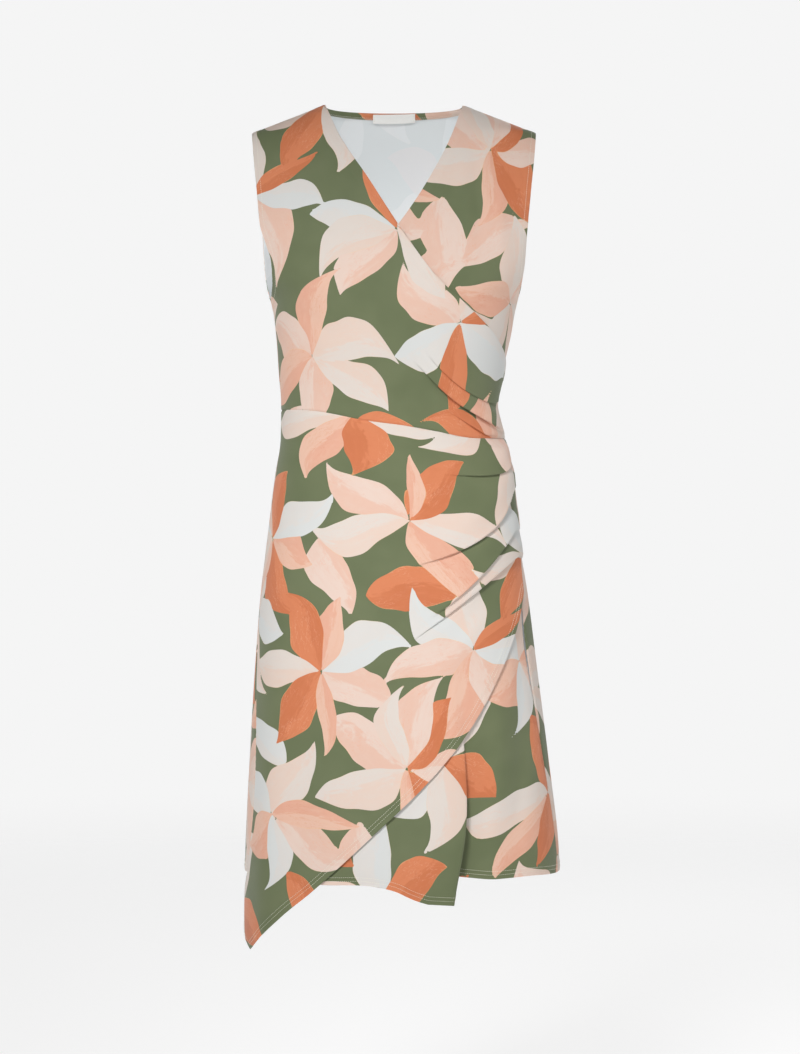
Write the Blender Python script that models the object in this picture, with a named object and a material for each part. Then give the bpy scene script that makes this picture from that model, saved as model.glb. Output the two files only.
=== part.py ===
# A sleeveless jersey wrap dress, filled out as it is worn, with nobody in it.
# Metres, +Z up. The front faces -Y, the wearer's left is +X, and the origin lies at shoulder height,
# midway between the two points where the shoulder seams meet the neck.
#
# Every panel lies on one hollow form. A place on the form is an angle round it, in degrees from the
# front centre towards the wearer's left, and a level, which is its height. Each panel is a patch
# between four borders, cut to its own outline, and is then given the thickness of the cloth.
from collections import namedtuple

import bpy
import numpy as np

# Driving dimensions
cloth_thickness = 0.0014
seam_gap = 0.0003
band_gap = 0.0010  # round the tight curve of the neck
layer_gap = 0.0022  # air between the two fronts where they cross
layer_step = cloth_thickness + layer_gap
layers_part = -0.130  # the upper layer begins to stand off the form this far from the centre
shoulder_drop = -0.036
armhole_bottom = -0.250
waist_right = -0.390  # the waist seam's level at the wearer's right side seam
waist_left = -0.427
cross_end = -0.340  # where the upper front's edge runs into the wearer's left side seam
hidden_end = -0.335  # where the lower front's edge ends, inside, at the right side seam
hem_level = -0.976
back_neck_drop = 0.003
neck_band_depth = 0.008
label_width = 0.055
label_height = 0.0135
label_thickness = 0.0010

# The general figure that the dress is cut for: half widths to the wearer's right and left, and depths
# of the front and back, measured from the line between the shoulders. At the armholes it is wider than
# the cloth, which is cut back there
Section = namedtuple("Section", "level right left front back")
figure = (
    Section(0.004, 0.078, 0.078, 0.028, 0.048),
    Section(0.000, 0.088, 0.088, 0.031, 0.050),
    Section(-0.012, 0.1193, 0.1193, 0.039, 0.056),
    Section(-0.033, 0.1733, 0.1733, 0.051, 0.065),
    Section(-0.036, 0.1810, 0.1810, 0.053, 0.066),
    Section(-0.055, 0.2000, 0.2000, 0.063, 0.074),
    Section(-0.080, 0.2090, 0.2090, 0.075, 0.083),
    Section(-0.120, 0.2120, 0.2120, 0.092, 0.092),
    Section(-0.160, 0.2040, 0.2040, 0.106, 0.098),
    Section(-0.205, 0.1850, 0.1850, 0.118, 0.102),
    Section(-0.230, 0.1710, 0.1710, 0.122, 0.102),
    Section(-0.250, 0.1575, 0.1580, 0.124, 0.101),
    Section(-0.298, 0.150, 0.1485, 0.118, 0.096),
    Section(-0.342, 0.147, 0.138, 0.107, 0.090),
    Section(-0.384, 0.144, 0.1290, 0.099, 0.087),
    Section(-0.425, 0.1445, 0.1380, 0.098, 0.088),
    Section(-0.474, 0.152, 0.149, 0.101, 0.097),
    Section(-0.547, 0.161, 0.158, 0.108, 0.116),
    Section(-0.623, 0.170, 0.1705, 0.115, 0.125),
    Section(-0.714, 0.177, 0.182, 0.123, 0.129),
    Section(-0.833, 0.184, 0.197, 0.133, 0.136),
    Section(-0.955, 0.190, 0.2105, 0.142, 0.144),
    Section(-1.090, 0.192, 0.215, 0.150, 0.150),
)
squareness = 0.10  # how far the sections lean from an ellipse towards a rounded box

# Where the shoulder and side seams run, as degrees from the front centre
Seam = namedtuple("Seam", "level right left")
side_seams = (
    Seam(0.000, 90.0, 90.0),
    Seam(-0.400, 90.0, 90.0),
    Seam(-0.480, 90.0, 88.0),
    Seam(-0.550, 89.0, 79.0),
    Seam(-0.610, 87.0, 70.0),
    Seam(-0.680, 83.0, 67.0),
    Seam(-0.785, 72.5, 70.0),
    Seam(-0.870, 69.5, 75.0),
    Seam(-0.976, 70.0, 80.0),
)

# Half widths of the cloth at the armholes. The wearer's right front is cut in a little deeper
Armhole = namedtuple("Armhole", "level right_front left_front back")
armholes = (
    Armhole(-0.036, 0.1810, 0.1810, 0.1810),
    Armhole(-0.080, 0.1765, 0.1765, 0.1775),
    Armhole(-0.120, 0.172, 0.172, 0.174),
    Armhole(-0.160, 0.168, 0.168, 0.171),
    Armhole(-0.185, 0.160, 0.166, 0.1695),
    Armhole(-0.208, 0.1535, 0.1645, 0.1675),
    Armhole(-0.231, 0.1525, 0.161, 0.1635),
    Armhole(-0.243, 0.1545, 0.159, 0.160),
    Armhole(-0.250, 0.1575, 0.158, 0.158),
)

# Outlines seen from the front: distance to the wearer's left, and level
cross_edge = (
    (-0.068, -0.047),
    (-0.032, -0.104),
    (0.005, -0.1635),
    (0.057, -0.234),
    (0.098, -0.271),
    (0.129, -0.305),
    (0.1385, -0.3245),
)
hidden_edge = (
    (0.071, -0.049),
    (0.049, -0.094),
    (0.005, -0.1635),
    (-0.050, -0.226),
    (-0.098, -0.270),
    (-0.130, -0.305),
)
front_waist = (
    (-0.098, -0.394),
    (-0.031, -0.407),
    (0.0135, -0.413),
    (0.0525, -0.420),
    (0.0924, -0.4275),
)
slant_start = -0.620  # where the over skirt's lower edge leaves the wearer's left side seam
slant_edge = (
    (0.1570, -0.645),
    (0.1370, -0.7075),
    (0.1180, -0.748),
    (0.0960, -0.7860),
    (0.0400, -0.8555),
    (-0.0200, -0.9140),
    (-0.1000, -0.9885),
    (-0.1305, -1.0145),
)
point_tip = (-0.1800, -1.0700)
free_edge = (
    (-0.1875, -0.993),
    (-0.1912, -1.025),
    (-0.1908, -1.047),
    (-0.1865, -1.062),
)
hem_right_of_fold = (  # to the wearer's right of the deep fold
    (-0.0920, -0.9800),
    (-0.0255, -0.9805),
    (0.0100, -0.9890),
    (0.0335, -0.9990),
)
fold_front_level = -1.003
fold_back_level = -0.9685
hem_left_of_fold = (
    (0.0990, -0.9730),
    (0.1300, -0.9770),
    (0.1690, -0.9775),
)

# Tucks held in the wearer's left side seam. Each line is the tuck's under edge, from its root through a
# middle point to its tip, seen from the front. The cloth stands up above it by height and sinks back
# over fade
Tuck = namedtuple("Tuck", "root_x root_z mid_x mid_z tip_x tip_z height fade")
bodice_tucks = (
    Tuck(0.127, -0.389, 0.0745, -0.354, 0.036, -0.322, 0.0060, 0.020),
    Tuck(0.118, -0.424, 0.070, -0.379, 0.026, -0.337, 0.0075, 0.018),
    Tuck(0.124, -0.428, 0.089, -0.413, 0.065, -0.396, 0.0050, 0.012),
)
skirt_tucks = (
    Tuck(0.141, -0.455, 0.113, -0.475, 0.060, -0.478, 0.0090, 0.024),
    Tuck(0.143, -0.502, 0.096, -0.557, 0.025, -0.588, 0.0090, 0.030),
    Tuck(0.140, -0.548, 0.088, -0.611, 0.043, -0.649, 0.0060, 0.024),
    Tuck(0.140, -0.590, 0.075, -0.642, 0.021, -0.682, 0.0045, 0.022),
)
tuck_undercut = 0.004  # how sharply a tuck drops away at its under edge
waist_calm = 0.010  # tucks die away this near the waist seam

# Soft flutes of the skirt, from the level where each begins: angle, height and half width in degrees
Flute = namedtuple("Flute", "angle start height width")
front_flutes = (
    Flute(-52.0, -0.62, 0.006, 11.0),
    Flute(-18.0, -0.70, 0.004, 12.0),
)
back_flutes = (
    Flute(114.0, -0.60, 0.006, 15.0),
    Flute(156.0, -0.55, 0.009, 17.0),
    Flute(203.0, -0.58, 0.010, 18.0),
    Flute(248.0, -0.60, 0.007, 15.0),
)
flutes_full = -1.076  # the level where they would be fully grown, below the hem

# The under skirt's deep fold, which turns back on itself like a letter S
fold_top_x = 0.110  # its place at the waist, where it has no depth
fold_hem_x = 0.056
fold_half_width = 0.015  # of the form that the fold takes up
fold_start = -0.775
fold_full = -1.033  # the level where it would be fully grown, below the hem
fold_overlap = 0.025
fold_overlap_growth = 1.3  # the overlap grows later than the depth
fold_depth = 0.012
fold_spread = 20.0  # degrees over which the cloth beside it settles back onto the form
hem_dip_growth = 4  # the rows bend to the hem's own line only near it

# Facets. Panels that meet at a seam have the same rows or columns along it
armhole_rows = 11
armhole_steps = 60  # its edge is drawn this finely first
side_rows = 7  # from the armhole to the waist
crossing_rows = 14  # along the edges that cross the front
seam_rows = 14  # from the waist to the hem
point_rows = 4  # below the hem, down to the over skirt's point
over_columns = 22
crowding = 0.85  # how closely they crowd towards the tucks; 1 is evenly spaced
under_columns = (7, 12, 4)  # to the wearer's right of the deep fold, in it, and to its left
shoulder_columns = 4  # of the back
neck_columns = 12
band_rows = 2
label_columns = 8
curve_steps = 16  # of a smooth run, between two of its points
table_steps = 400  # of the quarter turn that gives an angle from a distance
seam_points = 8  # that a side seam is drawn through
tuck_steps = 24  # along a tuck's line

print_colour = (0.430, 0.330, 0.220)  # the print's olive, peach and ivory together
label_colour = (0.850, 0.850, 0.840)
cloth_roughness = 0.75
crease_angle = 40.0  # degrees from which an edge is shown sharp

# How the grids are drawn
around_metric = np.array([0.0026, 1.0])  # metres for each degree round the form and each metre of level
seen_metric = np.ones(2)  # for outlines seen from the front
relaxing_rounds = 300
small_turn = 0.05  # degrees, for slopes of the form
small_rise = 0.0002

# Curves and tables


def column(table, name, level):
    """One column of a table of rows by level, at any level, as a smooth curve with no overshoot."""
    rows = sorted(table)
    heights = np.array([row.level for row in rows])
    values = np.array([getattr(row, name) for row in rows])
    steps = np.diff(values) / np.diff(heights)
    before, after = steps[:-1], steps[1:]
    same_way = before * after > 0
    mean = np.where(same_way, 2 * before * after / np.where(same_way, before + after, 1), 0)
    slopes = np.concatenate([steps[:1], mean, steps[-1:]])
    level = np.clip(level, heights[0], heights[-1])
    index = np.clip(np.searchsorted(heights, level, side="right") - 1, 0, len(steps) - 1)
    span = heights[index + 1] - heights[index]
    t = (level - heights[index]) / span
    start = values[index] * (1 + 2 * t) * (1 - t) ** 2
    end = values[index + 1] * (3 - 2 * t) * t**2
    lean = slopes[index] * t * (1 - t) ** 2 - slopes[index + 1] * t**2 * (1 - t)
    return start + end + lean * span


def ramp(value, start, end):
    """0 before start, 1 after end, and an even S between."""
    t = np.clip((value - start) / (end - start), 0, 1)
    return t * t * (3 - 2 * t)


def travelled_along(points, metric=around_metric):
    """The way travelled to each of a row of points."""
    steps = np.linalg.norm(np.diff(points, axis=0) * metric, axis=1)
    return np.concatenate([[0], np.cumsum(steps)])


def travelled_share(points):
    """The same way, as a share of the whole."""
    travelled = travelled_along(points)
    return travelled / travelled[-1]


def run(*points, metric=around_metric):
    """A smooth run through points, (angle, level) unless the metric says otherwise, drawn finely."""
    points = np.array(points, float)
    travelled = travelled_along(points, metric)
    slopes = np.gradient(points, travelled, axis=0)
    drawn = []
    for i in range(len(points) - 1):
        t = np.linspace(0, 1, curve_steps)[:, None]
        span = travelled[i + 1] - travelled[i]
        drawn.append(
            points[i] * (1 + 2 * t) * (1 - t) ** 2
            + points[i + 1] * (3 - 2 * t) * t**2
            + (slopes[i] * t * (1 - t) ** 2 - slopes[i + 1] * t**2 * (1 - t)) * span
        )
    return np.concatenate(drawn)


def border(runs, shares):
    """Places along joined runs, at shares of their whole length."""
    drawn = np.concatenate(runs)
    travelled = travelled_along(drawn)
    wanted = np.asarray(shares) * travelled[-1]
    return np.column_stack([np.interp(wanted, travelled, drawn[:, k]) for k in (0, 1)])


def patch(top, bottom, left, right):
    """A grid of (angle, level) places between four borders, rows from top to bottom."""
    across = (travelled_share(top) + travelled_share(bottom))[None, :, None] / 2
    down = (travelled_share(left) + travelled_share(right))[:, None, None] / 2
    between_ends = (1 - down) * top[None] + down * bottom[None]
    between_sides = (1 - across) * left[:, None] + across * right[:, None]
    corners = (1 - down) * ((1 - across) * top[0] + across * top[-1])
    corners = corners + down * ((1 - across) * bottom[0] + across * bottom[-1])
    return between_ends + between_sides - corners


def relaxed(places):
    """A patch with its inner points moved until its cells are even and none folds over another."""
    points = places * around_metric
    for _ in range(relaxing_rounds):
        down = (points[2:, 1:-1] - points[:-2, 1:-1]) / 2
        across = (points[1:-1, 2:] - points[1:-1, :-2]) / 2
        skew = points[2:, 2:] - points[2:, :-2] - points[:-2, 2:] + points[:-2, :-2]
        stiff_across = (down**2).sum(-1, keepdims=True)
        stiff_down = (across**2).sum(-1, keepdims=True)
        shear = (down * across).sum(-1, keepdims=True)
        pull = stiff_across * (points[1:-1, 2:] + points[1:-1, :-2])
        pull = pull + stiff_down * (points[2:, 1:-1] + points[:-2, 1:-1]) - shear * skew / 2
        points[1:-1, 1:-1] = pull / (2 * (stiff_across + stiff_down))
    return points / around_metric


# The form


def on_form(angle, level):
    """The form's point at an angle and a level."""
    turn = np.radians(angle)
    across, along = np.sin(turn), np.cos(turn)
    half = np.where(across > 0, column(figure, "left", level), column(figure, "right", level))
    depth = np.where(along > 0, column(figure, "front", level), column(figure, "back", level))
    x = half * across * (1 + squareness * along**2)
    y = -depth * along * (1 + squareness * across**2)
    return np.stack([x, y, np.broadcast_to(level, x.shape)], axis=-1)


def angle_of(x, level):
    """The angle of the front's point that lies x to the wearer's left."""
    side = "left" if x > 0 else "right"
    share = min(abs(x) / float(column(figure, side, level)), 1)
    turns = np.linspace(0, np.pi / 2, table_steps)
    shares = np.sin(turns) * (1 + squareness * np.cos(turns) ** 2)
    return float(np.copysign(np.degrees(np.interp(share, shares, turns)), x))


def front_run(start, points, end):
    """A run between two (angle, level) places, smooth as seen from the front, through (x, level) points."""
    ends = [(float(on_form(np.array(angle), level)[0]), level) for angle, level in (start, end)]
    drawn = run(ends[0], *points, ends[1], metric=seen_metric)
    places = np.array([(angle_of(x, level), level) for x, level in drawn])
    places[0], places[-1] = start, end
    return places


def outward(angle, level):
    """The form's outward unit normal."""
    round_it = on_form(angle + small_turn, level) - on_form(angle - small_turn, level)
    up_it = on_form(angle, level + small_rise) - on_form(angle, level - small_rise)
    normal = np.cross(round_it, up_it)
    return normal / np.linalg.norm(normal, axis=-1, keepdims=True)


def degrees_for(distance, angle, level):
    """The turn that moves a place round the form by a distance."""
    moved = on_form(np.asarray(angle + small_turn), level) - on_form(np.asarray(angle), level)
    return distance * small_turn / np.linalg.norm(moved, axis=-1)


def at_seam(side, panel, level):
    """The (angle, level) of a panel's edge at a side seam, half a seam gap short of it. side is 1 on the
    wearer's left and -1 on the right, and panel is front or back."""
    seam = float(column(side_seams, "left" if side > 0 else "right", level))
    clear = float(degrees_for(seam_gap / 2, seam, level))
    if panel == "front":
        return (side * (seam - clear), level)
    around = seam + clear
    return (around if side > 0 else 360 - around, level)


def seam_run(side, panel, start, end):
    """A panel's edge along a side seam, from one level to another."""
    return run(*(at_seam(side, panel, level) for level in np.linspace(start, end, seam_points)))


# Shapes given to the cloth


def cross_lift(x):
    """How far the upper layer stands off the form, growing towards the wearer's left."""
    return layer_step * ramp(x, layers_part, 0)


def under_lift(x):
    """How far the lower layer stands off the form: it lies inside the upper one."""
    return cross_lift(x) - layer_step


def tuck_height(tucks, x, level):
    """The height that a set of tucks gives the cloth, seen from the front."""
    total = np.zeros(np.shape(x))
    t = even(tuck_steps)[:, None, None]
    for tuck in tucks:
        control_x = 2 * tuck.mid_x - (tuck.root_x + tuck.tip_x) / 2
        control_z = 2 * tuck.mid_z - (tuck.root_z + tuck.tip_z) / 2
        line_x = (1 - t) ** 2 * tuck.root_x + 2 * t * (1 - t) * control_x + t**2 * tuck.tip_x
        line_z = (1 - t) ** 2 * tuck.root_z + 2 * t * (1 - t) * control_z + t**2 * tuck.tip_z
        away_x = x[None] - line_x
        away_z = level[None] - line_z
        distance = np.hypot(away_x, away_z)
        nearest = np.argmin(distance, axis=0)
        signed = np.min(distance, axis=0) * np.sign(np.choose(nearest, away_z))
        rise = ramp(signed, -tuck_undercut, tuck_undercut)
        sink = np.exp(-((np.maximum(signed, 0) / tuck.fade) ** 2))
        along = 1 - (nearest / tuck_steps) ** 2
        total = np.maximum(total, tuck.height * rise * sink * along)
    waist_x, waist_z = np.array(front_waist).T
    return total * ramp(np.abs(level - np.interp(x, waist_x, waist_z)), 0, waist_calm)


def flute_height(flutes, angle, level):
    """The height of the skirt's soft flutes, which grow towards the hem."""
    total = np.zeros(np.shape(angle))
    for flute in flutes:
        grown = ramp(-level, -flute.start, -flutes_full)
        total = total + flute.height * grown * np.exp(-(((angle - flute.angle) / flute.width) ** 2))
    return total


# Solids


def fabric(name, colour):
    """A piece's own cloth."""
    material = bpy.data.materials.new(name + "_cloth")
    material.use_nodes = True
    shader = material.node_tree.nodes["Principled BSDF"]
    shader.inputs["Base Color"].default_value = (*colour, 1)
    shader.inputs["Roughness"].default_value = cloth_roughness
    shader.inputs["Metallic"].default_value = 0
    return material


def grid_normals(middle):
    """The outward unit normals of a grid of points."""
    down = np.gradient(middle, axis=0, edge_order=min(2, len(middle) - 1))
    across = np.gradient(middle, axis=1, edge_order=2)
    normal = np.cross(down, across)
    return normal / np.linalg.norm(normal, axis=-1, keepdims=True)


def panel_normals(places, middle, bottom_is_seam):
    """A panel's normals. Along its seams they are the form's own, so that neighbours stay apart."""
    normal = grid_normals(middle)
    exact = outward(places[..., 0], places[..., 1])
    normal[0], normal[:, 0], normal[:, -1] = exact[0], exact[:, 0], exact[:, -1]
    if bottom_is_seam:
        normal[-1] = exact[-1]
    return normal


def wall(name, middle, normal, thickness=cloth_thickness, colour=print_colour):
    """A closed wall of cloth, half its thickness to each side of a grid of points."""
    rows, columns = middle.shape[:2]
    face = middle + normal * thickness / 2
    inside = middle - normal * thickness / 2
    points = np.concatenate([face.reshape(-1, 3), inside.reshape(-1, 3)])
    number = np.arange(rows * columns).reshape(rows, columns)
    depth = rows * columns  # from a point's number on the face to its number inside
    quads = []
    for i in range(rows - 1):
        for j in range(columns - 1):
            corners = (number[i, j], number[i + 1, j], number[i + 1, j + 1], number[i, j + 1])
            quads.append(corners)
            quads.append(tuple(corner + depth for corner in reversed(corners)))
    rim = [*number[0, :-1], *number[:-1, -1], *number[-1, :0:-1], *number[:0:-1, 0]]
    for start, end in zip(rim, [*rim[1:], rim[0]]):
        quads.append((start, end, end + depth, start + depth))
    mesh = bpy.data.meshes.new(name)
    mesh.from_pydata(points.tolist(), [], [[int(corner) for corner in quad] for quad in quads])
    mesh.shade_smooth()
    mesh.set_sharp_from_angle(angle=np.radians(crease_angle))
    mesh.materials.append(fabric(name, colour))
    piece = bpy.data.objects.new(name, mesh)
    bpy.context.scene.collection.objects.link(piece)
    return piece


def even(count):
    """Even shares from 0 to 1."""
    return np.linspace(0, 1, count + 1)


def crowded(count):
    """Shares from 0 to 1 that lie closer together towards 1, where the tucks are."""
    return even(count) ** crowding


def cloth_at(places, offset):
    """The cloth's middle surface: places on the form, moved out by an offset."""
    angle, level = places[..., 0], places[..., 1]
    return on_form(angle, level) + outward(angle, level) * offset[..., None]


# Borders that panels share


def armhole_run(side, panel):
    """An armhole's edge, from the shoulder tip to the top of the side seam."""
    name = "back"
    if panel == "front":
        name = "left_front" if side > 0 else "right_front"
    seam = abs(at_seam(side, "front", shoulder_drop)[0])
    places = []
    for share in (1 - np.cos(np.linspace(0, np.pi, armhole_steps))) / 2:
        level = shoulder_drop + (armhole_bottom - shoulder_drop) * share
        half_width = float(column(armholes, name, level))
        angle = min(abs(angle_of(side * half_width, level)), seam)
        if panel == "back":
            angle = 180 - angle
        places.append((side * angle % 360 if panel == "back" else side * angle, level))
    places[0] = at_seam(side, panel, shoulder_drop)
    places[-1] = at_seam(side, panel, armhole_bottom)
    return np.array(places)


def waist_level(side):
    return waist_left if side > 0 else waist_right


def bodice_side(side, panel):
    """A bodice panel's own side: the armhole, then the side seam."""
    armhole = border([armhole_run(side, panel)], even(armhole_rows))
    seam = seam_run(side, panel, armhole_bottom, waist_level(side))
    return np.concatenate([armhole[:-1], border([seam], even(side_rows))])


def skirt_side(side, panel):
    """A skirt panel's side seam, from the waist to the hem."""
    return border([seam_run(side, panel, waist_level(side), hem_level)], even(seam_rows))


def front_waist_run():
    """The front waist seam, from the wearer's right side to the left."""
    return front_run(at_seam(-1, "front", waist_right), front_waist, at_seam(1, "front", waist_left))


def over_waist():
    """The upper layer's waist seam, its columns closer together towards the tucks."""
    return border([front_waist_run()], crowded(over_columns))


def fold_turn():
    """Places through the under skirt's deep fold, -1 to 1."""
    return even(under_columns[1]) * 2 - 1


def fold_reach():
    """Degrees to each side of the deep fold's middle."""
    return float(degrees_for(fold_half_width, angle_of(fold_hem_x, hem_level), hem_level))


def under_waist():
    """The lower layer's waist seam, its columns set by the deep fold that the skirt has below it."""
    waist = front_waist_run()
    fold = angle_of(fold_top_x, waist_left)
    before, _, after = under_columns
    angles = np.concatenate(
        [
            np.linspace(waist[0, 0], fold - fold_reach(), before + 1)[:-1],
            fold + fold_turn() * fold_reach(),
            np.linspace(fold + fold_reach(), waist[-1, 0], after + 1)[1:],
        ]
    )
    return np.column_stack([angles, np.interp(angles, waist[:, 0], waist[:, 1])])


def back_waist():
    """The back waist seam, from the wearer's left side to the right."""
    start, end = at_seam(1, "back", waist_left)[0], at_seam(-1, "back", waist_right)[0]
    angles = np.linspace(start, end, 2 * shoulder_columns + neck_columns + 1)
    levels = waist_left + (waist_right - waist_left) * ramp(angles, start, end)
    return np.column_stack([angles, levels])


def panel_between(top, bottom, first_side, last_side, waist_at):
    """A patch whose waist border stands half a seam gap clear, and whose sides end on its corners."""
    if waist_at == "bottom":
        bottom = bottom + (0, seam_gap / 2)
    else:
        top = top - (0, seam_gap / 2)
    first_side, last_side = first_side.copy(), last_side.copy()
    first_side[0], first_side[-1] = top[0], bottom[0]
    last_side[0], last_side[-1] = top[-1], bottom[-1]
    return patch(top, bottom, first_side, last_side)


# Bodice


def front_places(side, edge, edge_end, waist):
    """One front, between its shoulder, its armhole and side seam, the waist, and the edge that crosses
    to the other side seam. Its columns run from the wearer's right to the left."""
    neck_point = at_seam(side, "front", 0)
    end = at_seam(-side, "front", edge_end)
    crossing = border([front_run(neck_point, edge, end)], even(crossing_rows))
    below = seam_run(-side, "front", edge_end, waist_level(-side))
    other_side = np.concatenate(
        [crossing[:-1], border([below], even(armhole_rows + side_rows - crossing_rows))]
    )
    shoulder = border([run(at_seam(side, "front", shoulder_drop), neck_point)], even(len(waist) - 1))
    own_side = bodice_side(side, "front")
    if side > 0:
        return relaxed(panel_between(shoulder[::-1], waist, other_side, own_side, "bottom"))
    return relaxed(panel_between(shoulder, waist, own_side, other_side, "bottom"))


def make_right_front_bodice():
    places = front_places(-1, cross_edge, cross_end, over_waist())
    x = on_form(places[..., 0], places[..., 1])[..., 0]
    middle = cloth_at(places, cross_lift(x) + tuck_height(bodice_tucks, x, places[..., 1]))
    wall("right_front_bodice", middle, panel_normals(places, middle, True))


def make_left_front_bodice():
    places = front_places(1, hidden_edge, hidden_end, under_waist())
    middle = cloth_at(places, under_lift(on_form(places[..., 0], places[..., 1])[..., 0]))
    wall("left_front_bodice", middle, panel_normals(places, middle, True))


def back_bodice_cloth():
    """The back bodice's middle surface and normals. Its first row is one shoulder, the neckline and the
    other shoulder."""
    start, end = at_seam(1, "back", 0)[0], at_seam(-1, "back", 0)[0]
    angles = np.linspace(start, end, neck_columns + 1)
    dip = back_neck_drop * np.sin(np.radians(angles - 90))
    neckline = np.column_stack([angles, -dip])
    left_shoulder = run(at_seam(1, "back", shoulder_drop), (start, 0))
    right_shoulder = run((end, 0), at_seam(-1, "back", shoulder_drop))
    top = np.concatenate(
        [
            border([left_shoulder], even(shoulder_columns))[:-1],
            neckline,
            border([right_shoulder], even(shoulder_columns))[1:],
        ]
    )
    sides = bodice_side(1, "back"), bodice_side(-1, "back")
    places = relaxed(panel_between(top, back_waist(), *sides, "bottom"))
    middle = cloth_at(places, np.zeros(places.shape[:2]))
    return middle, panel_normals(places, middle, True)


def inside_neck(middle, normal, columns, depth, inset):
    """A strip below the neckline, at given columns of the back, moved in from its own points: its middle
    surface and normals."""
    lines = middle[:, columns], normal[:, columns]
    strip = np.empty((2, band_rows + 1, len(columns), 3))
    for j in range(len(columns)):
        steps = np.linalg.norm(np.diff(lines[0][:, j], axis=0), axis=-1)
        travelled = np.concatenate([[0], np.cumsum(steps)])
        wanted = np.linspace(seam_gap, depth, band_rows + 1)
        for grid, line in zip(strip, lines):
            for k in range(3):
                grid[:, j, k] = np.interp(wanted, travelled, line[:, j, k])
    return strip[0] - strip[1] * inset, strip[1]


def make_back_bodice():
    wall("back_bodice", *back_bodice_cloth())


def back_neck_columns():
    """The back bodice's columns that reach the neckline."""
    return np.arange(shoulder_columns, shoulder_columns + neck_columns + 1)


def make_neck_band():
    inset = cloth_thickness + band_gap
    strip = inside_neck(*back_bodice_cloth(), back_neck_columns(), neck_band_depth, inset)
    wall("back_neck_band", *strip)


def make_neck_label():
    inset = 1.5 * cloth_thickness + 2 * band_gap + label_thickness / 2
    strip = inside_neck(*back_bodice_cloth(), back_neck_columns(), label_height, inset)
    across = np.linspace(label_width / 2, -label_width / 2, label_columns + 1)
    label = np.empty((2, band_rows + 1, len(across), 3))
    for cut, whole in zip(label, strip):
        for i in range(band_rows + 1):
            for k in range(3):
                cut[i, :, k] = np.interp(-across, -strip[0][i, :, 0], whole[i, :, k])
    wall("neck_label", *label, label_thickness, label_colour)


# Skirt


def make_over_skirt():
    hem_corner = at_seam(-1, "front", hem_level)
    tip = (angle_of(*point_tip), point_tip[1])
    free = front_run(hem_corner, free_edge, tip)
    right_side = np.concatenate([skirt_side(-1, "front")[:-1], border([free], even(point_rows))])
    left_seam = seam_run(1, "front", waist_left, slant_start)
    left_side = border([left_seam], even(seam_rows + point_rows))
    slant = front_run(tip, slant_edge[::-1], at_seam(1, "front", slant_start))
    bottom = border([slant], even(over_columns))
    places = relaxed(panel_between(over_waist(), bottom, right_side, left_side, "top"))
    angle, level = places[..., 0], places[..., 1]
    x = on_form(angle, level)[..., 0]
    offset = cross_lift(x) + tuck_height(skirt_tucks, x, level)
    offset = offset + flute_height(front_flutes, angle, level) + np.maximum(fold_push(angle, level), 0)
    middle = cloth_at(places, offset)
    wall("over_skirt", middle, panel_normals(places, middle, False))


def under_hem():
    """The under skirt's hem, which drops to the deep fold's front edge and starts again higher."""
    before, _, after = under_columns
    fold = angle_of(fold_hem_x, fold_front_level)
    fold_front = (fold - fold_reach(), fold_front_level)
    fold_back = (fold + fold_reach(), fold_back_level)
    to_fold = front_run(at_seam(-1, "front", hem_level), hem_right_of_fold, fold_front)
    from_fold = front_run(fold_back, hem_left_of_fold, at_seam(1, "front", hem_level))
    rise = (fold_back_level - fold_front_level) * ramp(fold_turn(), -0.5, 0.5)
    in_fold = np.column_stack([fold + fold_turn() * fold_reach(), fold_front_level + rise])
    return np.concatenate(
        [border([to_fold], even(before))[:-1], in_fold, border([from_fold], even(after))[1:]]
    )


def fold_grown(level):
    """How far the deep fold has grown at a level, 0 to 1."""
    return ramp(-level, -fold_start, -fold_full)


def fold_push(angle, level):
    """How far the cloth beside the deep fold stands out before it, or back after it."""
    down = np.clip((level - waist_left) / (fold_front_level - waist_left), 0, 1)
    fold = angle_of(fold_top_x, waist_left) * (1 - down) + angle_of(fold_hem_x, fold_front_level) * down
    away = np.maximum(np.abs(angle - fold) - fold_reach(), 0)
    side = np.where(angle < fold, 1, -1)
    return fold_depth * fold_grown(level) * side * np.exp(-((away / fold_spread) ** 2))


def make_under_skirt():
    hem = under_hem()
    level_hem = np.column_stack([hem[:, 0], np.full(len(hem), hem_level)])
    sides = skirt_side(-1, "front"), skirt_side(1, "front")
    places = panel_between(under_waist(), level_hem, *sides, "top")
    dip = even(seam_rows)[:, None] ** hem_dip_growth * (hem[:, 1] - hem_level)
    angle, level = places[..., 0], places[..., 1] + dip
    offset = under_lift(on_form(angle, level)[..., 0]) + flute_height(front_flutes, angle, level)
    before, within, after = under_columns
    turn = fold_turn()
    sway = np.concatenate([np.zeros(before), -np.sin(np.pi * turn), np.zeros(after)])
    swing = degrees_for(1.0, angle, level) * fold_overlap * fold_grown(level) ** fold_overlap_growth * sway
    stand = fold_push(angle, level)
    inside = slice(before, before + within + 1)
    stand[:, inside] = fold_depth * fold_grown(level[:, inside]) * -np.sin(np.pi * turn / 2)
    folded = np.stack([angle + swing, level], axis=-1)
    middle = cloth_at(folded, offset + stand)
    wall("under_skirt", middle, panel_normals(places, middle, False))


def make_back_skirt():
    sides = skirt_side(1, "back"), skirt_side(-1, "back")
    ends = np.stack([sides[0][-1], sides[1][-1]])
    bottom = border([ends], even(len(back_waist()) - 1))
    places = panel_between(back_waist(), bottom, *sides, "top")
    middle = cloth_at(places, flute_height(back_flutes, places[..., 0], places[..., 1]))
    wall("back_skirt", middle, panel_normals(places, middle, False))


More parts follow.
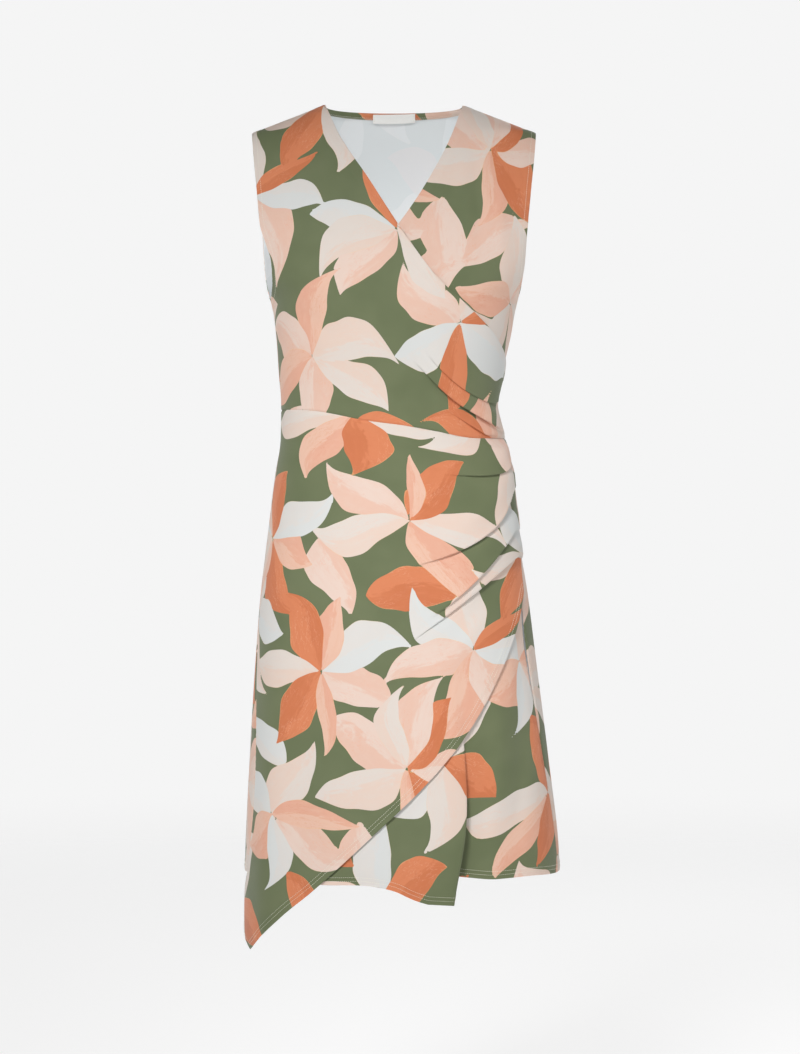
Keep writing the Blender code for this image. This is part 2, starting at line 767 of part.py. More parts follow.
for startup_object in list(bpy.data.objects):
    bpy.data.objects.remove(startup_object)
make_right_front_bodice()
make_left_front_bodice()
make_back_bodice()
make_neck_band()
make_neck_label()
make_over_skirt()
make_under_skirt()
make_back_skirt()
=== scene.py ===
import math
from collections import namedtuple

import bpy
import numpy as np
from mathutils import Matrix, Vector, kdtree


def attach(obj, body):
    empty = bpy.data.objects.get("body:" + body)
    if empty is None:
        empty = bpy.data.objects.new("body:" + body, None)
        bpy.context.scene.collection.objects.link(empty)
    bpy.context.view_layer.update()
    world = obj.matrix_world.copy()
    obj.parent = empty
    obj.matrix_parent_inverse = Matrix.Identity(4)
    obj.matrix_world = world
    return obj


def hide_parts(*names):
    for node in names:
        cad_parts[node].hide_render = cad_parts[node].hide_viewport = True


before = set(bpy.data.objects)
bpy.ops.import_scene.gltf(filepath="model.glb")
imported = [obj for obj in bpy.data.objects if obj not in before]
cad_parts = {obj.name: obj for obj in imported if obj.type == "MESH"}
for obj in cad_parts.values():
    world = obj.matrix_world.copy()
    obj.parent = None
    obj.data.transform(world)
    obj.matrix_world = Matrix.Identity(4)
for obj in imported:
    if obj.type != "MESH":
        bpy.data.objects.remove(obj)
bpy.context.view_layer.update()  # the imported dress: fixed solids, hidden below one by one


def tableOf(columns, *rows):
    kind = namedtuple("Row", columns)
    return [kind(*row) for row in rows]


# Camera, light and floor

studio = {
    "cameraPlace": (0.0077, -3.5, -0.539),  # level, straight at the front
    "lens": 93.4,
    "longSide": 36.0,  # of the sensor, which is upright
    "floorLevel": -1.40,  # the dress hangs at a wearer's shoulder height
    "floorFull": 2.6,  # the floor fades into the backdrop from here
    "floorGone": 5.5,
    "floorColour": (0.30, 0.30, 0.30, 1),
    "floorGlow": (0.755, 0.755, 0.755, 1),  # evens the floor out with the backdrop
    "backdrop": (0.913, 0.913, 0.913),
    "frontTent": (0.80, 0.80, 0.80),  # the room before the dress
    "dome": (0.10, 0.10, 0.10),  # the room above it
    "tentFrom": (-0.1, -0.6),
    "domeFrom": (0.20, 0.40),
}
softboxes = tableOf(
    "name place target size watts spread",
    ("keyBox", (-0.8, -2.8, 1.4), (0.16, 0, -0.76), (0.9, 0.9), 3.7, 30),
    ("sideBox", (2.6, -1.6, 0.2), (0, 0, -0.7), (1.2, 1.6), 4, 120),
    ("backBox", (0.9, 3.0, 1.7), (0, 0, -0.5), (1.4, 1.4), 30, 180),
    ("insideBox", (0.0, -0.02, -0.33), (0, 0.05, -0.05), (0.12, 0.08), 0.12, 180),  # within the hollow
)


def addObject(name, data):
    made = bpy.data.objects.new(name, data)
    bpy.context.scene.collection.objects.link(made)
    return made


def makeCamera():
    data = bpy.data.cameras.new("frontCamera")
    data.lens = studio["lens"]
    data.sensor_width = studio["longSide"]  # the automatic fit gives it to the long side
    camera = addObject("frontCamera", data)
    camera.location = studio["cameraPlace"]
    camera.rotation_euler = (math.radians(90), 0, 0)
    bpy.context.scene.camera = camera


def makeLights():
    for box in softboxes:
        data = bpy.data.lights.new(box.name, "AREA")
        data.shape = "RECTANGLE"
        data.size, data.size_y = box.size
        data.energy = box.watts
        data.spread = math.radians(box.spread)
        light = addObject(box.name, data)
        light.location = box.place
        aim = Vector(box.target) - Vector(box.place)
        light.rotation_euler = aim.to_track_quat("-Z", "Y").to_euler()
    # the backdrop is pale, and the tent before and above the dress is dimmer
    board = Board("softTent", bpy.data.worlds.new("softTent"))
    _, depth, up = board.parts(board.add("ShaderNodeTexCoord", (), (), "Generated"))
    sides = board.mix(board.step(depth, *studio["tentFrom"]), studio["backdrop"], studio["frontTent"])
    dome = board.mix(board.step(up, *studio["domeFrom"]), sides, studio["dome"])
    shade = board.add("ShaderNodeBackground", (), {"Color": dome, "Strength": 1.0})
    bpy.context.scene.world = board.close(shade, "ShaderNodeOutputWorld")
    bpy.context.scene.view_settings.view_transform = "Standard"


# Shader maths: a Wire is a socket, or what an expression on sockets gives


class Wire:
    def __init__(self, board, socket):
        self.board = board
        self.socket = socket

    def __add__(self, other):
        return self.board.sum("ADD", self, other)

    def __sub__(self, other):
        return self.board.sum("SUBTRACT", self, other)

    def __mul__(self, other):
        return self.board.sum("MULTIPLY", self, other)

    def __abs__(self):
        return self.board.sum("ABSOLUTE", self)


class Board:
    # one material, or the world, and the nodes on it
    def __init__(self, name, owner=None):
        self.owner = owner or bpy.data.materials.new(name)
        self.owner.use_nodes = True
        self.tree = self.owner.node_tree
        self.tree.nodes.clear()

    def add(self, kind, settings=(), inputs=(), output=0):
        node = self.tree.nodes.new(kind)
        for name, value in dict(settings).items():
            setattr(node, name, value)
        for name, value in dict(inputs).items():
            if isinstance(value, Wire):
                self.tree.links.new(value.socket, node.inputs[name])
            else:
                node.inputs[name].default_value = value
        return Wire(self, node.outputs[output]) if node.outputs else None

    def sum(self, operation, *values):
        return self.add("ShaderNodeMath", {"operation": operation}, enumerate(values))

    def step(self, value, low, high, fromValue=0.0, toValue=1.0):
        # an even S from fromValue at low to toValue at high
        inputs = {"Value": value, "From Min": low, "From Max": high, "To Min": fromValue, "To Max": toValue}
        return self.add("ShaderNodeMapRange", {"interpolation_type": "SMOOTHSTEP"}, inputs)

    def mix(self, share, first, second):
        colours = [(*c, 1) if isinstance(c, tuple) else c for c in (first, second)]
        inputs = {"Factor": share, 6: colours[0], 7: colours[1]}
        return self.add("ShaderNodeMix", {"data_type": "RGBA"}, inputs, 2)

    def field(self, name):
        return self.add("ShaderNodeAttribute", {"attribute_name": name}, (), "Vector")

    def place(self):
        return self.add("ShaderNodeTexCoord", (), (), "Object")

    def join(self, *values):
        return self.add("ShaderNodeCombineXYZ", (), enumerate(values))

    def parts(self, vector):
        outputs = self.add("ShaderNodeSeparateXYZ", (), {0: vector}).socket.node.outputs
        return [Wire(self, output) for output in outputs]

    def noise(self, at, scale, detail=2.0, roughness=0.5):
        inputs = {"Vector": at, "Scale": scale, "Detail": detail, "Roughness": roughness}
        return self.add("ShaderNodeTexNoise", (), inputs, "Fac")

    def wave(self, at, pitch):
        return self.sum("SINE", at * (2 * math.pi / pitch))

    def bump(self, height, distance, strength):
        return self.add("ShaderNodeBump", (), {"Height": height, "Distance": distance, "Strength": strength})

    def close(self, shade, kind):
        self.add(kind, (), {"Surface": shade})
        return self.owner

    def finish(self, **sockets):
        inputs = {name.replace("_", " "): value for name, value in sockets.items()}
        return self.close(self.add("ShaderNodeBsdfPrincipled", (), inputs), "ShaderNodeOutputMaterial")


def makeFloor():
    # a plain round floor that fades out towards the backdrop
    board = Board("paleFloor")
    away = board.add("ShaderNodeVectorMath", {"operation": "LENGTH"}, {0: board.place()}, "Value")
    mesh = bpy.data.meshes.new("paleFloor")
    mesh.materials.append(
        board.finish(
            Base_Color=studio["floorColour"],
            Roughness=0.9,
            Alpha=board.step(away, studio["floorFull"], studio["floorGone"], 1.0, 0.0),
            Emission_Color=studio["floorGlow"],
            Emission_Strength=1.0,
        )
    )
    rings, spokes = 12, 96
    turns = np.linspace(0, 2 * math.pi, spokes, endpoint=False)
    points = [(0, 0, 0)]
    for radius in np.linspace(0, studio["floorGone"], rings + 1)[1:]:
        points.extend((radius * math.cos(turn), radius * math.sin(turn), 0) for turn in turns)
    faces = [(0, 1 + k, 1 + (k + 1) % spokes) for k in range(spokes)]
    for near in range(1, 1 + (rings - 1) * spokes, spokes):
        for k in range(spokes):
            after = (k + 1) % spokes
            faces.append((near + k, near + spokes + k, near + spokes + after, near + after))
    mesh.from_pydata(points, [], faces)
    floor = addObject("paleFloor", mesh)
    floor.location = (0, 0, studio["floorLevel"])


# The figure that the dress is cut for: half widths to the wearer's right and left, and depths of the
# front and back. At the armholes it is wider than the cloth, which is cut back there
figure = tableOf(
    "level right left front back",
    (0.004, 0.078, 0.078, 0.028, 0.048),
    (0.000, 0.088, 0.088, 0.031, 0.050),
    (-0.012, 0.1193, 0.1193, 0.039, 0.056),
    (-0.033, 0.1733, 0.1733, 0.051, 0.065),
    (-0.036, 0.1810, 0.1810, 0.053, 0.066),
    (-0.055, 0.2000, 0.2000, 0.063, 0.074),
    (-0.080, 0.2090, 0.2090, 0.075, 0.083),
    (-0.120, 0.2120, 0.2120, 0.092, 0.092),
    (-0.160, 0.2040, 0.2040, 0.106, 0.098),
    (-0.205, 0.1850, 0.1850, 0.118, 0.102),
    (-0.230, 0.1710, 0.1710, 0.122, 0.102),
    (-0.250, 0.1575, 0.1580, 0.124, 0.101),
    (-0.298, 0.150, 0.1485, 0.118, 0.096),
    (-0.342, 0.147, 0.138, 0.107, 0.090),
    (-0.384, 0.144, 0.1290, 0.099, 0.087),
    (-0.425, 0.1445, 0.1380, 0.098, 0.088),
    (-0.474, 0.152, 0.149, 0.101, 0.097),
    (-0.547, 0.161, 0.158, 0.108, 0.116),
    (-0.623, 0.170, 0.1705, 0.115, 0.125),
    (-0.714, 0.177, 0.182, 0.123, 0.129),
    (-0.833, 0.184, 0.197, 0.133, 0.136),
    (-0.955, 0.1893, 0.2105, 0.142, 0.144),
    (-1.090, 0.192, 0.215, 0.150, 0.150),
)
# Side seams, in degrees from the front centre
sideSeams = tableOf(
    "level right left",
    (0.000, 90.0, 90.0),
    (-0.400, 90.0, 90.0),
    (-0.480, 90.0, 88.0),
    (-0.550, 89.0, 79.0),
    (-0.610, 87.0, 70.0),
    (-0.680, 83.0, 67.0),
    (-0.785, 72.5, 70.0),
    (-0.870, 69.5, 75.0),
    (-0.945, 70.0, 78.5),
    (-0.976, 77.0, 80.0),
)
# Half widths of the cloth at the armholes
armholes = tableOf(
    "level rightFront leftFront back",
    (-0.036, 0.1810, 0.1810, 0.1810),
    (-0.080, 0.1765, 0.1765, 0.1775),
    (-0.120, 0.172, 0.172, 0.174),
    (-0.160, 0.168, 0.168, 0.171),
    (-0.185, 0.160, 0.166, 0.1695),
    (-0.208, 0.1535, 0.1645, 0.1675),
    (-0.231, 0.1525, 0.161, 0.1635),
    (-0.243, 0.1545, 0.159, 0.160),
    (-0.250, 0.1575, 0.158, 0.158),
)
cut = {
    "squareness": 0.10,
    "seamGap": 0.0003,
    "shoulderDrop": -0.036,
    "armholeBottom": -0.250,
    "waistRight": -0.390,
    "waistLeft": -0.427,
    "crossEnd": -0.340,
    "hiddenEnd": -0.335,
    "hemLevel": -0.976,
    "backNeckDrop": 0.003,
    "slantStart": -0.620,
}
# Outlines seen from the front: distance to the wearer's left, and level
crossEdge = [
    (-0.068, -0.047), (-0.032, -0.104), (0.005, -0.1635), (0.057, -0.234),
    (0.098, -0.271), (0.129, -0.305), (0.1385, -0.3245),
]
hiddenEdge = [
    (0.071, -0.049), (0.049, -0.094), (0.005, -0.1635),
    (-0.050, -0.226), (-0.098, -0.270), (-0.130, -0.305),
]
frontWaist = [(-0.098, -0.394), (-0.031, -0.407), (0.0135, -0.413), (0.0525, -0.420), (0.0924, -0.4275)]
slantEdge = [
    (0.1570, -0.645), (0.1370, -0.7075), (0.1180, -0.748), (0.0960, -0.7860), (0.0400, -0.8555),
    (-0.0200, -0.9140), (-0.1000, -0.9885), (-0.1305, -1.0145), (-0.1550, -1.0415),
]
pointTip = (-0.1800, -1.0700)
freeEdge = [(-0.1892, -0.993), (-0.1918, -1.022), (-0.1918, -1.045), (-0.1875, -1.062)]
hemBeforeFold = [
    (-0.0920, -0.9800), (-0.0255, -0.9805), (0.0040, -0.9870), (0.0180, -0.9937), (0.0300, -0.9985),
]
hemAfterFold = [(0.0990, -0.9720), (0.1240, -0.9745), (0.1440, -0.9740), (0.1690, -0.9732)]
foldHemLevels = -1.0018, -0.9685  # of the deep fold's front edge and of the cloth behind it

# Coarse rows and columns of a panel's grid, and the part of a side that an armhole or a free edge takes
grid = {"rows": 18, "columns": 22, "armhole": 11, "crossing": 14, "backColumns": 20, "backNeck": 12}
waistCrowding = 0.85  # the upper layer's columns lie closer together towards the tucks
armholeShare = grid["armhole"] / grid["rows"]
crossingShare = grid["crossing"] / grid["rows"]
neckShares = 0.2, 0.8  # of the back's top edge
aroundMetric = np.array([0.0026, 1.0])  # metres for a degree round the form and for a metre of level
seenMetric = np.ones(2)

# Curves and tables

fineness = {
    "run": 24,  # points for each span of a smooth line
    "seam": 8,  # levels on a seam
    "armhole": 60,
    "turns": 400,
    "tuck": 48,
    "relaxing": 300,  # rounds
    "edge": 0.0008,  # metres between the places on an edge that distances are taken from
}


def hermite(t, start, end, startSlope, endSlope):
    # slopes are changes over the whole span
    ends = start * (1 + 2 * t) * (1 - t) ** 2 + end * (3 - 2 * t) * t**2
    return ends + startSlope * t * (1 - t) ** 2 - endSlope * t**2 * (1 - t)


def tableValue(table, name, level):
    # a column of a table of rows by level, as a smooth curve with no overshoot
    rows = sorted(table)
    heights = np.array([row.level for row in rows])
    values = np.array([getattr(row, name) for row in rows])
    steps = np.diff(values) / np.diff(heights)
    before, after = steps[:-1], steps[1:]
    sameWay = before * after > 0
    mean = np.where(sameWay, 2 * before * after / np.where(sameWay, before + after, 1), 0)
    slopes = np.concatenate([steps[:1], mean, steps[-1:]])
    level = np.clip(level, heights[0], heights[-1])
    at = np.clip(np.searchsorted(heights, level, side="right") - 1, 0, len(steps) - 1)
    span = heights[at + 1] - heights[at]
    t = (level - heights[at]) / span
    return hermite(t, values[at], values[at + 1], slopes[at] * span, slopes[at + 1] * span)


def ease(value, start, end):
    t = np.clip((value - start) / (end - start), 0, 1)
    return t * t * (3 - 2 * t)


def waysAlong(points, axis=0):
    # the way travelled to each point of a line, or of each line of a grid
    steps = np.linalg.norm(np.diff(points, axis=axis), axis=-1)
    return np.concatenate([np.zeros_like(np.take(steps, [0], axis)), np.cumsum(steps, axis=axis)], axis)


def even(count):
    return np.linspace(0, 1, count + 1)


def atShares(shares, ways, values):
    # values that are known along a line, read at other ways
    return np.stack([np.interp(shares, ways, values[:, k]) for k in range(values.shape[1])], axis=-1)


def smoothRun(*points, metric=aroundMetric):
    # a smooth line through points, drawn finely
    points = np.array(points, float)
    way = waysAlong(points * metric)
    slopes = np.gradient(points, way, axis=0)
    t = np.linspace(0, 1, fineness["run"])[:, None]
    drawn = []
    for i, span in enumerate(np.diff(way)):
        drawn.append(hermite(t, points[i], points[i + 1], slopes[i] * span, slopes[i + 1] * span))
    return np.concatenate(drawn)


def border(run, shares):
    # places along a run, at shares of its whole length
    way = waysAlong(run * aroundMetric)
    return atShares(np.asarray(shares) * way[-1], way, run)


def travelledShare(points):
    way = waysAlong(points * aroundMetric)
    return way / way[-1]


def patchBetween(top, bottom, left, right):
    # a grid of places between four borders, rows from top to bottom
    across = (travelledShare(top) + travelledShare(bottom))[None, :, None] / 2
    down = (travelledShare(left) + travelledShare(right))[:, None, None] / 2
    betweenEnds = (1 - down) * top[None] + down * bottom[None]
    betweenSides = (1 - across) * left[:, None] + across * right[:, None]
    corners = (1 - down) * ((1 - across) * top[0] + across * top[-1])
    corners = corners + down * ((1 - across) * bottom[0] + across * bottom[-1])
    return betweenEnds + betweenSides - corners


def relaxed(places):
    # inner points moved until the cells are even and none folds over another
    points = places * aroundMetric
    for _ in range(fineness["relaxing"]):
        down = (points[2:, 1:-1] - points[:-2, 1:-1]) / 2
        across = (points[1:-1, 2:] - points[1:-1, :-2]) / 2
        skew = points[2:, 2:] - points[2:, :-2] - points[:-2, 2:] + points[:-2, :-2]
        stiffAcross = (down**2).sum(-1, keepdims=True)
        stiffDown = (across**2).sum(-1, keepdims=True)
        shear = (down * across).sum(-1, keepdims=True)
        pull = stiffAcross * (points[1:-1, 2:] + points[1:-1, :-2])
        pull = pull + stiffDown * (points[2:, 1:-1] + points[:-2, 1:-1]) - shear * skew / 2
        points[1:-1, 1:-1] = pull / (2 * (stiffAcross + stiffDown))
    return points / aroundMetric


def spreader(count, fine):
    # weights that carry a row of values to a row that is several times finer
    at = np.linspace(0, count - 1, (count - 1) * fine + 1)
    low = np.clip(at.astype(int), 0, count - 2)
    t = at - low
    shares = [
        (-t + 2 * t**2 - t**3) / 2,
        (2 - 5 * t**2 + 3 * t**3) / 2,
        (t + 4 * t**2 - 3 * t**3) / 2,
        (t**3 - t**2) / 2,
    ]
    weights = np.zeros((len(at), count))
    for offset, share in enumerate(shares, -1):
        np.add.at(weights, (np.arange(len(at)), np.clip(low + offset, 0, count - 1)), share)
    return weights


def finePatch(build, panel):
    # relaxes the coarse patch, and carries what that moved to the fine one
    coarse = build(1, 1)
    moved = relaxed(coarse) - coarse
    down = spreader(coarse.shape[0], panel["rowFine"])
    across = spreader(coarse.shape[1], panel["columnFine"])
    moved = np.einsum("ij,kl,jlm->ikm", down, across, moved, optimize=True)
    return build(panel["rowFine"], panel["columnFine"]) + moved


# The form that every panel lies on

smallTurn, smallRise = 0.05, 0.0002  # degrees and metres, for the form's slopes
chartAngles, chartLevels = np.linspace(-180, 360, 271), np.linspace(-1.10, 0.01, 75)  # for lengths round it


def onForm(angle, level):
    turn = np.radians(angle)
    across, along = np.sin(turn), np.cos(turn)
    half = np.where(across > 0, tableValue(figure, "left", level), tableValue(figure, "right", level))
    depth = np.where(along > 0, tableValue(figure, "front", level), tableValue(figure, "back", level))
    x = half * across * (1 + cut["squareness"] * along**2)
    y = -depth * along * (1 + cut["squareness"] * across**2)
    return np.stack([x, y, np.broadcast_to(level, x.shape)], axis=-1)


def angleOf(x, level):
    side = "left" if x > 0 else "right"
    share = min(abs(x) / float(tableValue(figure, side, level)), 1)
    turns = np.linspace(0, np.pi / 2, fineness["turns"])
    shares = np.sin(turns) * (1 + cut["squareness"] * np.cos(turns) ** 2)
    return float(np.copysign(np.degrees(np.interp(share, shares, turns)), x))


def frontRun(start, points, end):
    # a run between two (angle, level) places, smooth as seen from the front
    ends = [(float(onForm(np.array(angle), level)[0]), level) for angle, level in (start, end)]
    drawn = smoothRun(ends[0], *points, ends[1], metric=seenMetric)
    places = np.array([(angleOf(x, level), level) for x, level in drawn])
    places[0], places[-1] = start, end
    return places


def unit(vectors):
    return vectors / np.maximum(np.linalg.norm(vectors, axis=-1, keepdims=True), 1e-12)


def outward(angle, level):
    roundIt = onForm(angle + smallTurn, level) - onForm(angle - smallTurn, level)
    upIt = onForm(angle, level + smallRise) - onForm(angle, level - smallRise)
    return unit(np.cross(roundIt, upIt))


def degreesFor(distance, angle, level):
    moved = onForm(np.asarray(angle + smallTurn), level) - onForm(np.asarray(angle), level)
    return distance * smallTurn / np.linalg.norm(moved, axis=-1)


def atSeam(side, panel, level):
    # side is 1 on the wearer's left and -1 on the right
    seam = float(tableValue(sideSeams, "left" if side > 0 else "right", level))
    clear = float(degreesFor(cut["seamGap"] / 2, seam, level))
    if panel == "front":
        return (side * (seam - clear), level)
    return (side * (seam + clear) % 360, level)


def seamRun(side, panel, start, end):
    return smoothRun(*(atSeam(side, panel, level) for level in np.linspace(start, end, fineness["seam"])))


def clothAt(places, offset):
    angle, level = places[..., 0], places[..., 1]
    return onForm(angle, level) + outward(angle, level) * offset[..., None]


def gridNormals(middle):
    down = np.gradient(middle, axis=0, edge_order=2)
    across = np.gradient(middle, axis=1, edge_order=2)
    return unit(np.cross(down, across))


# Borders that panels share


def armholeRun(side, panel):
    name = "back"
    if panel == "front":
        name = "leftFront" if side > 0 else "rightFront"
    seam = abs(atSeam(side, "front", cut["shoulderDrop"])[0])
    places = []
    for share in (1 - np.cos(np.linspace(0, np.pi, fineness["armhole"]))) / 2:
        level = cut["shoulderDrop"] + (cut["armholeBottom"] - cut["shoulderDrop"]) * share
        angle = min(abs(angleOf(side * float(tableValue(armholes, name, level)), level)), seam)
        places.append((side * (180 - angle) % 360 if panel == "back" else side * angle, level))
    places[0] = atSeam(side, panel, cut["shoulderDrop"])
    places[-1] = atSeam(side, panel, cut["armholeBottom"])
    return np.array(places)


def waistLevel(side):
    return cut["waistLeft"] if side > 0 else cut["waistRight"]


def bodiceSide(side, panel, fine):
    armhole = border(armholeRun(side, panel), even(grid["armhole"] * fine))
    seam = seamRun(side, panel, cut["armholeBottom"], waistLevel(side))
    return np.concatenate([armhole[:-1], border(seam, even((grid["rows"] - grid["armhole"]) * fine))])


def skirtSide(side, panel, rows):
    return border(seamRun(side, panel, waistLevel(side), cut["hemLevel"]), even(rows))


def frontWaistRun():
    return frontRun(
        atSeam(-1, "front", cut["waistRight"]), frontWaist, atSeam(1, "front", cut["waistLeft"])
    )


def crowdedWaist(columnFine):
    return border(frontWaistRun(), even(grid["columns"] * columnFine) ** waistCrowding)


def backWaist(columns):
    start = atSeam(1, "back", cut["waistLeft"])[0]
    end = atSeam(-1, "back", cut["waistRight"])[0]
    angles = np.linspace(start, end, columns + 1)
    rise = cut["waistRight"] - cut["waistLeft"]
    return np.column_stack([angles, cut["waistLeft"] + rise * ease(angles, start, end)])


def betweenBorders(top, bottom, firstSide, lastSide, waistAt):
    half = cut["seamGap"] / 2
    if waistAt == "bottom":
        bottom = bottom + (0, half)
    else:
        top = top - (0, half)
    firstSide, lastSide = firstSide.copy(), lastSide.copy()
    firstSide[0], firstSide[-1] = top[0], bottom[0]
    lastSide[0], lastSide[-1] = top[-1], bottom[-1]
    return patchBetween(top, bottom, firstSide, lastSide)


# How the cloth stands off the form

cloth = {
    "thickness": 0.0006,
    "doubled": 0.0011,  # at turned edges and hems
    "layerStep": 0.0036,  # between the middles of two layers
    "layersPart": -0.130,
    "hemDepth": 0.0125,
    "hemBlend": 0.0006,
    "edgeRound": 0.0012,  # a turned edge rounds off within this
    "rollDepth": 0.0013,  # the cloth turns in this far at a seam
    "rollWidth": 0.0022,
}


def crossLift(x):
    return cloth["layerStep"] * ease(x, cloth["layersPart"], 0)


def underLift(x):
    return crossLift(x) - cloth["layerStep"]


# Tucks caught in the wearer's left side seam. Each line is a tuck's under edge, from its root through a
# middle point to its tip, seen from the front. The cloth above is lifted by the height, hangs over the
# line, puffs out a little higher up, and takes in some cloth
tuckColumns = "root mid tip height over puff fade intake"
bodiceTucks = tableOf(
    tuckColumns,
    ((0.132, -0.386), (0.0765, -0.357), (0.034, -0.314), 0.0050, 0.0090, 0.0030, 0.016, 0.014),
    ((0.124, -0.421), (0.070, -0.379), (0.022, -0.330), 0.0066, 0.0115, 0.0042, 0.016, 0.018),
    ((0.120, -0.432), (0.091, -0.413), (0.060, -0.391), 0.0036, 0.0075, 0.0014, 0.009, 0.007),
)
skirtTucks = tableOf(
    tuckColumns,
    ((0.146, -0.450), (0.119, -0.472), (0.062, -0.474), 0.0070, 0.0120, 0.0045, 0.015, 0.011),
    ((0.148, -0.497), (0.099, -0.556), (0.019, -0.590), 0.0082, 0.0140, 0.0060, 0.024, 0.024),
    ((0.146, -0.545), (0.088, -0.611), (0.041, -0.650), 0.0056, 0.0095, 0.0038, 0.020, 0.014),
    ((0.148, -0.580), (0.075, -0.642), (0.016, -0.686), 0.0048, 0.0085, 0.0032, 0.020, 0.013),
)
tuckForm = {
    "roll": 0.0024,  # half the width of cloth that rolls over a tuck's under edge
    "crowding": 0.58,  # how much closer the grid's rows lie along it
    "crowdWidth": 0.009,
    "calmWidth": 0.010,  # a tuck is held flat this near the waist seam
    "turnedAway": 0.08,  # what is left of it where the form turns away
    "facing": 0.6,  # from here on the form counts as facing forwards
    "calmBorder": 0.012,
    "crowdEnd": 0.7,
    "leastPerDegree": 0.0011,  # metres, where the form turns away
    "puffAt": 0.7,
    "slideReach": 1.6,
}

# Soft creases: a trough's height is negative, the width is half of it, and the ends on the back's two
# panels are in degrees round the form
creaseColumns = "start end height width"
creaseComes, creaseGoes = (-0.25, 0.25), (1.25, 0.6)  # over these shares of its length
rightBodiceCreases = tableOf(
    creaseColumns,
    ((-0.150, -0.255), (-0.070, -0.300), -0.0016, 0.012),
    ((-0.135, -0.235), (-0.080, -0.215), 0.0014, 0.011),
    ((0.110, -0.400), (0.010, -0.300), 0.0014, 0.012),
    ((0.098, -0.418), (-0.010, -0.352), 0.0013, 0.012),
    ((0.060, -0.412), (-0.050, -0.385), -0.0012, 0.011),
    ((-0.060, -0.060), (-0.120, -0.170), 0.0014, 0.018),
    ((0.020, -0.215), (-0.060, -0.330), -0.0011, 0.020),
)
leftBodiceCreases = tableOf(
    creaseColumns,
    ((0.103, -0.075), (0.107, -0.190), -0.0022, 0.009),
    ((0.128, -0.090), (0.138, -0.210), 0.0018, 0.010),
    ((0.155, -0.245), (0.105, -0.262), -0.0014, 0.009),
)
backBodiceCreases = tableOf(
    creaseColumns,
    ((118, -0.395), (172, -0.352), 0.0017, 0.0095),
    ((112, -0.352), (158, -0.318), -0.0014, 0.010),
    ((244, -0.372), (190, -0.340), 0.0015, 0.0100),
    ((238, -0.330), (205, -0.302), -0.0012, 0.009),
    ((128, -0.412), (205, -0.398), -0.0012, 0.007),
    ((120, -0.262), (140, -0.205), 0.0016, 0.013),
    ((240, -0.262), (222, -0.200), 0.0015, 0.012),
)
overSkirtCreases = tableOf(
    creaseColumns,
    ((0.125, -0.442), (0.040, -0.446), 0.0026, 0.010),
    ((0.100, -0.520), (0.010, -0.540), 0.0016, 0.013),
    ((0.120, -0.640), (0.020, -0.760), 0.0020, 0.016),
    ((0.135, -0.600), (0.060, -0.700), -0.0016, 0.012),
    ((0.060, -0.640), (-0.060, -0.700), -0.0016, 0.018),
    ((-0.120, -0.420), (-0.070, -0.560), 0.0012, 0.020),
    ((-0.040, -0.640), (-0.070, -0.900), 0.0026, 0.026),
    ((-0.100, -0.700), (-0.125, -1.000), -0.0026, 0.022),
    ((0.020, -0.720), (-0.010, -0.880), -0.0020, 0.022),
)
underSkirtCreases = tableOf(
    creaseColumns,
    ((0.165, -0.640), (0.150, -0.960), -0.0030, 0.014),
    ((0.120, -0.760), (0.115, -0.960), 0.0030, 0.016),
    ((0.010, -0.880), (0.005, -0.980), -0.0030, 0.018),
)
backSkirtCreases = tableOf(
    creaseColumns,
    ((205, -0.415), (228, -0.520), 0.0016, 0.013),
    ((150, -0.430), (128, -0.540), 0.0015, 0.014),
    ((176, -0.410), (180, -0.470), -0.0018, 0.011),
    ((134, -0.660), (140, -0.930), -0.0028, 0.020),
    ((180, -0.640), (179, -0.950), -0.0030, 0.024),
    ((226, -0.650), (229, -0.940), -0.0026, 0.020),
)


def alongLine(x, level, start, end):
    # the share travelled from start to end, the distance aside, and the way aside
    along = end - start
    length = np.hypot(*along)
    t = ((x - start[0]) * along[0] + (level - start[1]) * along[1]) / length**2
    aside = ((x - start[0]) * along[1] - (level - start[1]) * along[0]) / length
    return t, aside, np.array([along[1], -along[0]]) / length


def creaseHeight(creases, x, level, degree=1.0):
    # degree is the length of a degree where x is one
    total = np.zeros(x.shape)
    for crease in creases:
        start, end = (np.array(place) * (degree, 1) for place in (crease.start, crease.end))
        t, aside, _ = alongLine(x * degree, level, start, end)
        fade = ease(t, *creaseComes) * ease(t, *creaseGoes)
        total = total + crease.height * fade * np.exp(-((aside / crease.width) ** 2))
    return total


def besideTuck(tuck, x, level):
    # distance above the line where the cloth turns over, which is what hides under the lip, the share
    # travelled along it, and the way up from it
    root, mid, tip = (np.array(place) for place in (tuck.root, tuck.mid, tuck.tip))
    control = 2 * mid - (root + tip) / 2
    t = even(fineness["tuck"])[:, None]
    line = (1 - t) ** 2 * root + 2 * t * (1 - t) * control + t**2 * tip
    nearest = np.full(x.shape, np.inf)
    signed, share, up = np.zeros(x.shape), np.zeros(x.shape), np.zeros((*x.shape, 2))
    for k, (a, b) in enumerate(zip(line[:-1], line[1:])):
        t, aside, wayUp = alongLine(x, level, a, b)
        inside = np.clip(t, 0, 1)
        away = b - a
        distance = np.hypot(x - a[0] - inside * away[0], level - a[1] - inside * away[1])
        closer = distance < nearest
        nearest = np.where(closer, distance, nearest)
        signed = np.where(closer, distance * np.sign(aside), signed)
        share = np.where(closer, (k + inside) / (len(line) - 1), share)
        up = np.where(closer[..., None], wayUp, up)
    return signed - (tuck.over - tuckForm["roll"]) * (1 - share**2), share, up


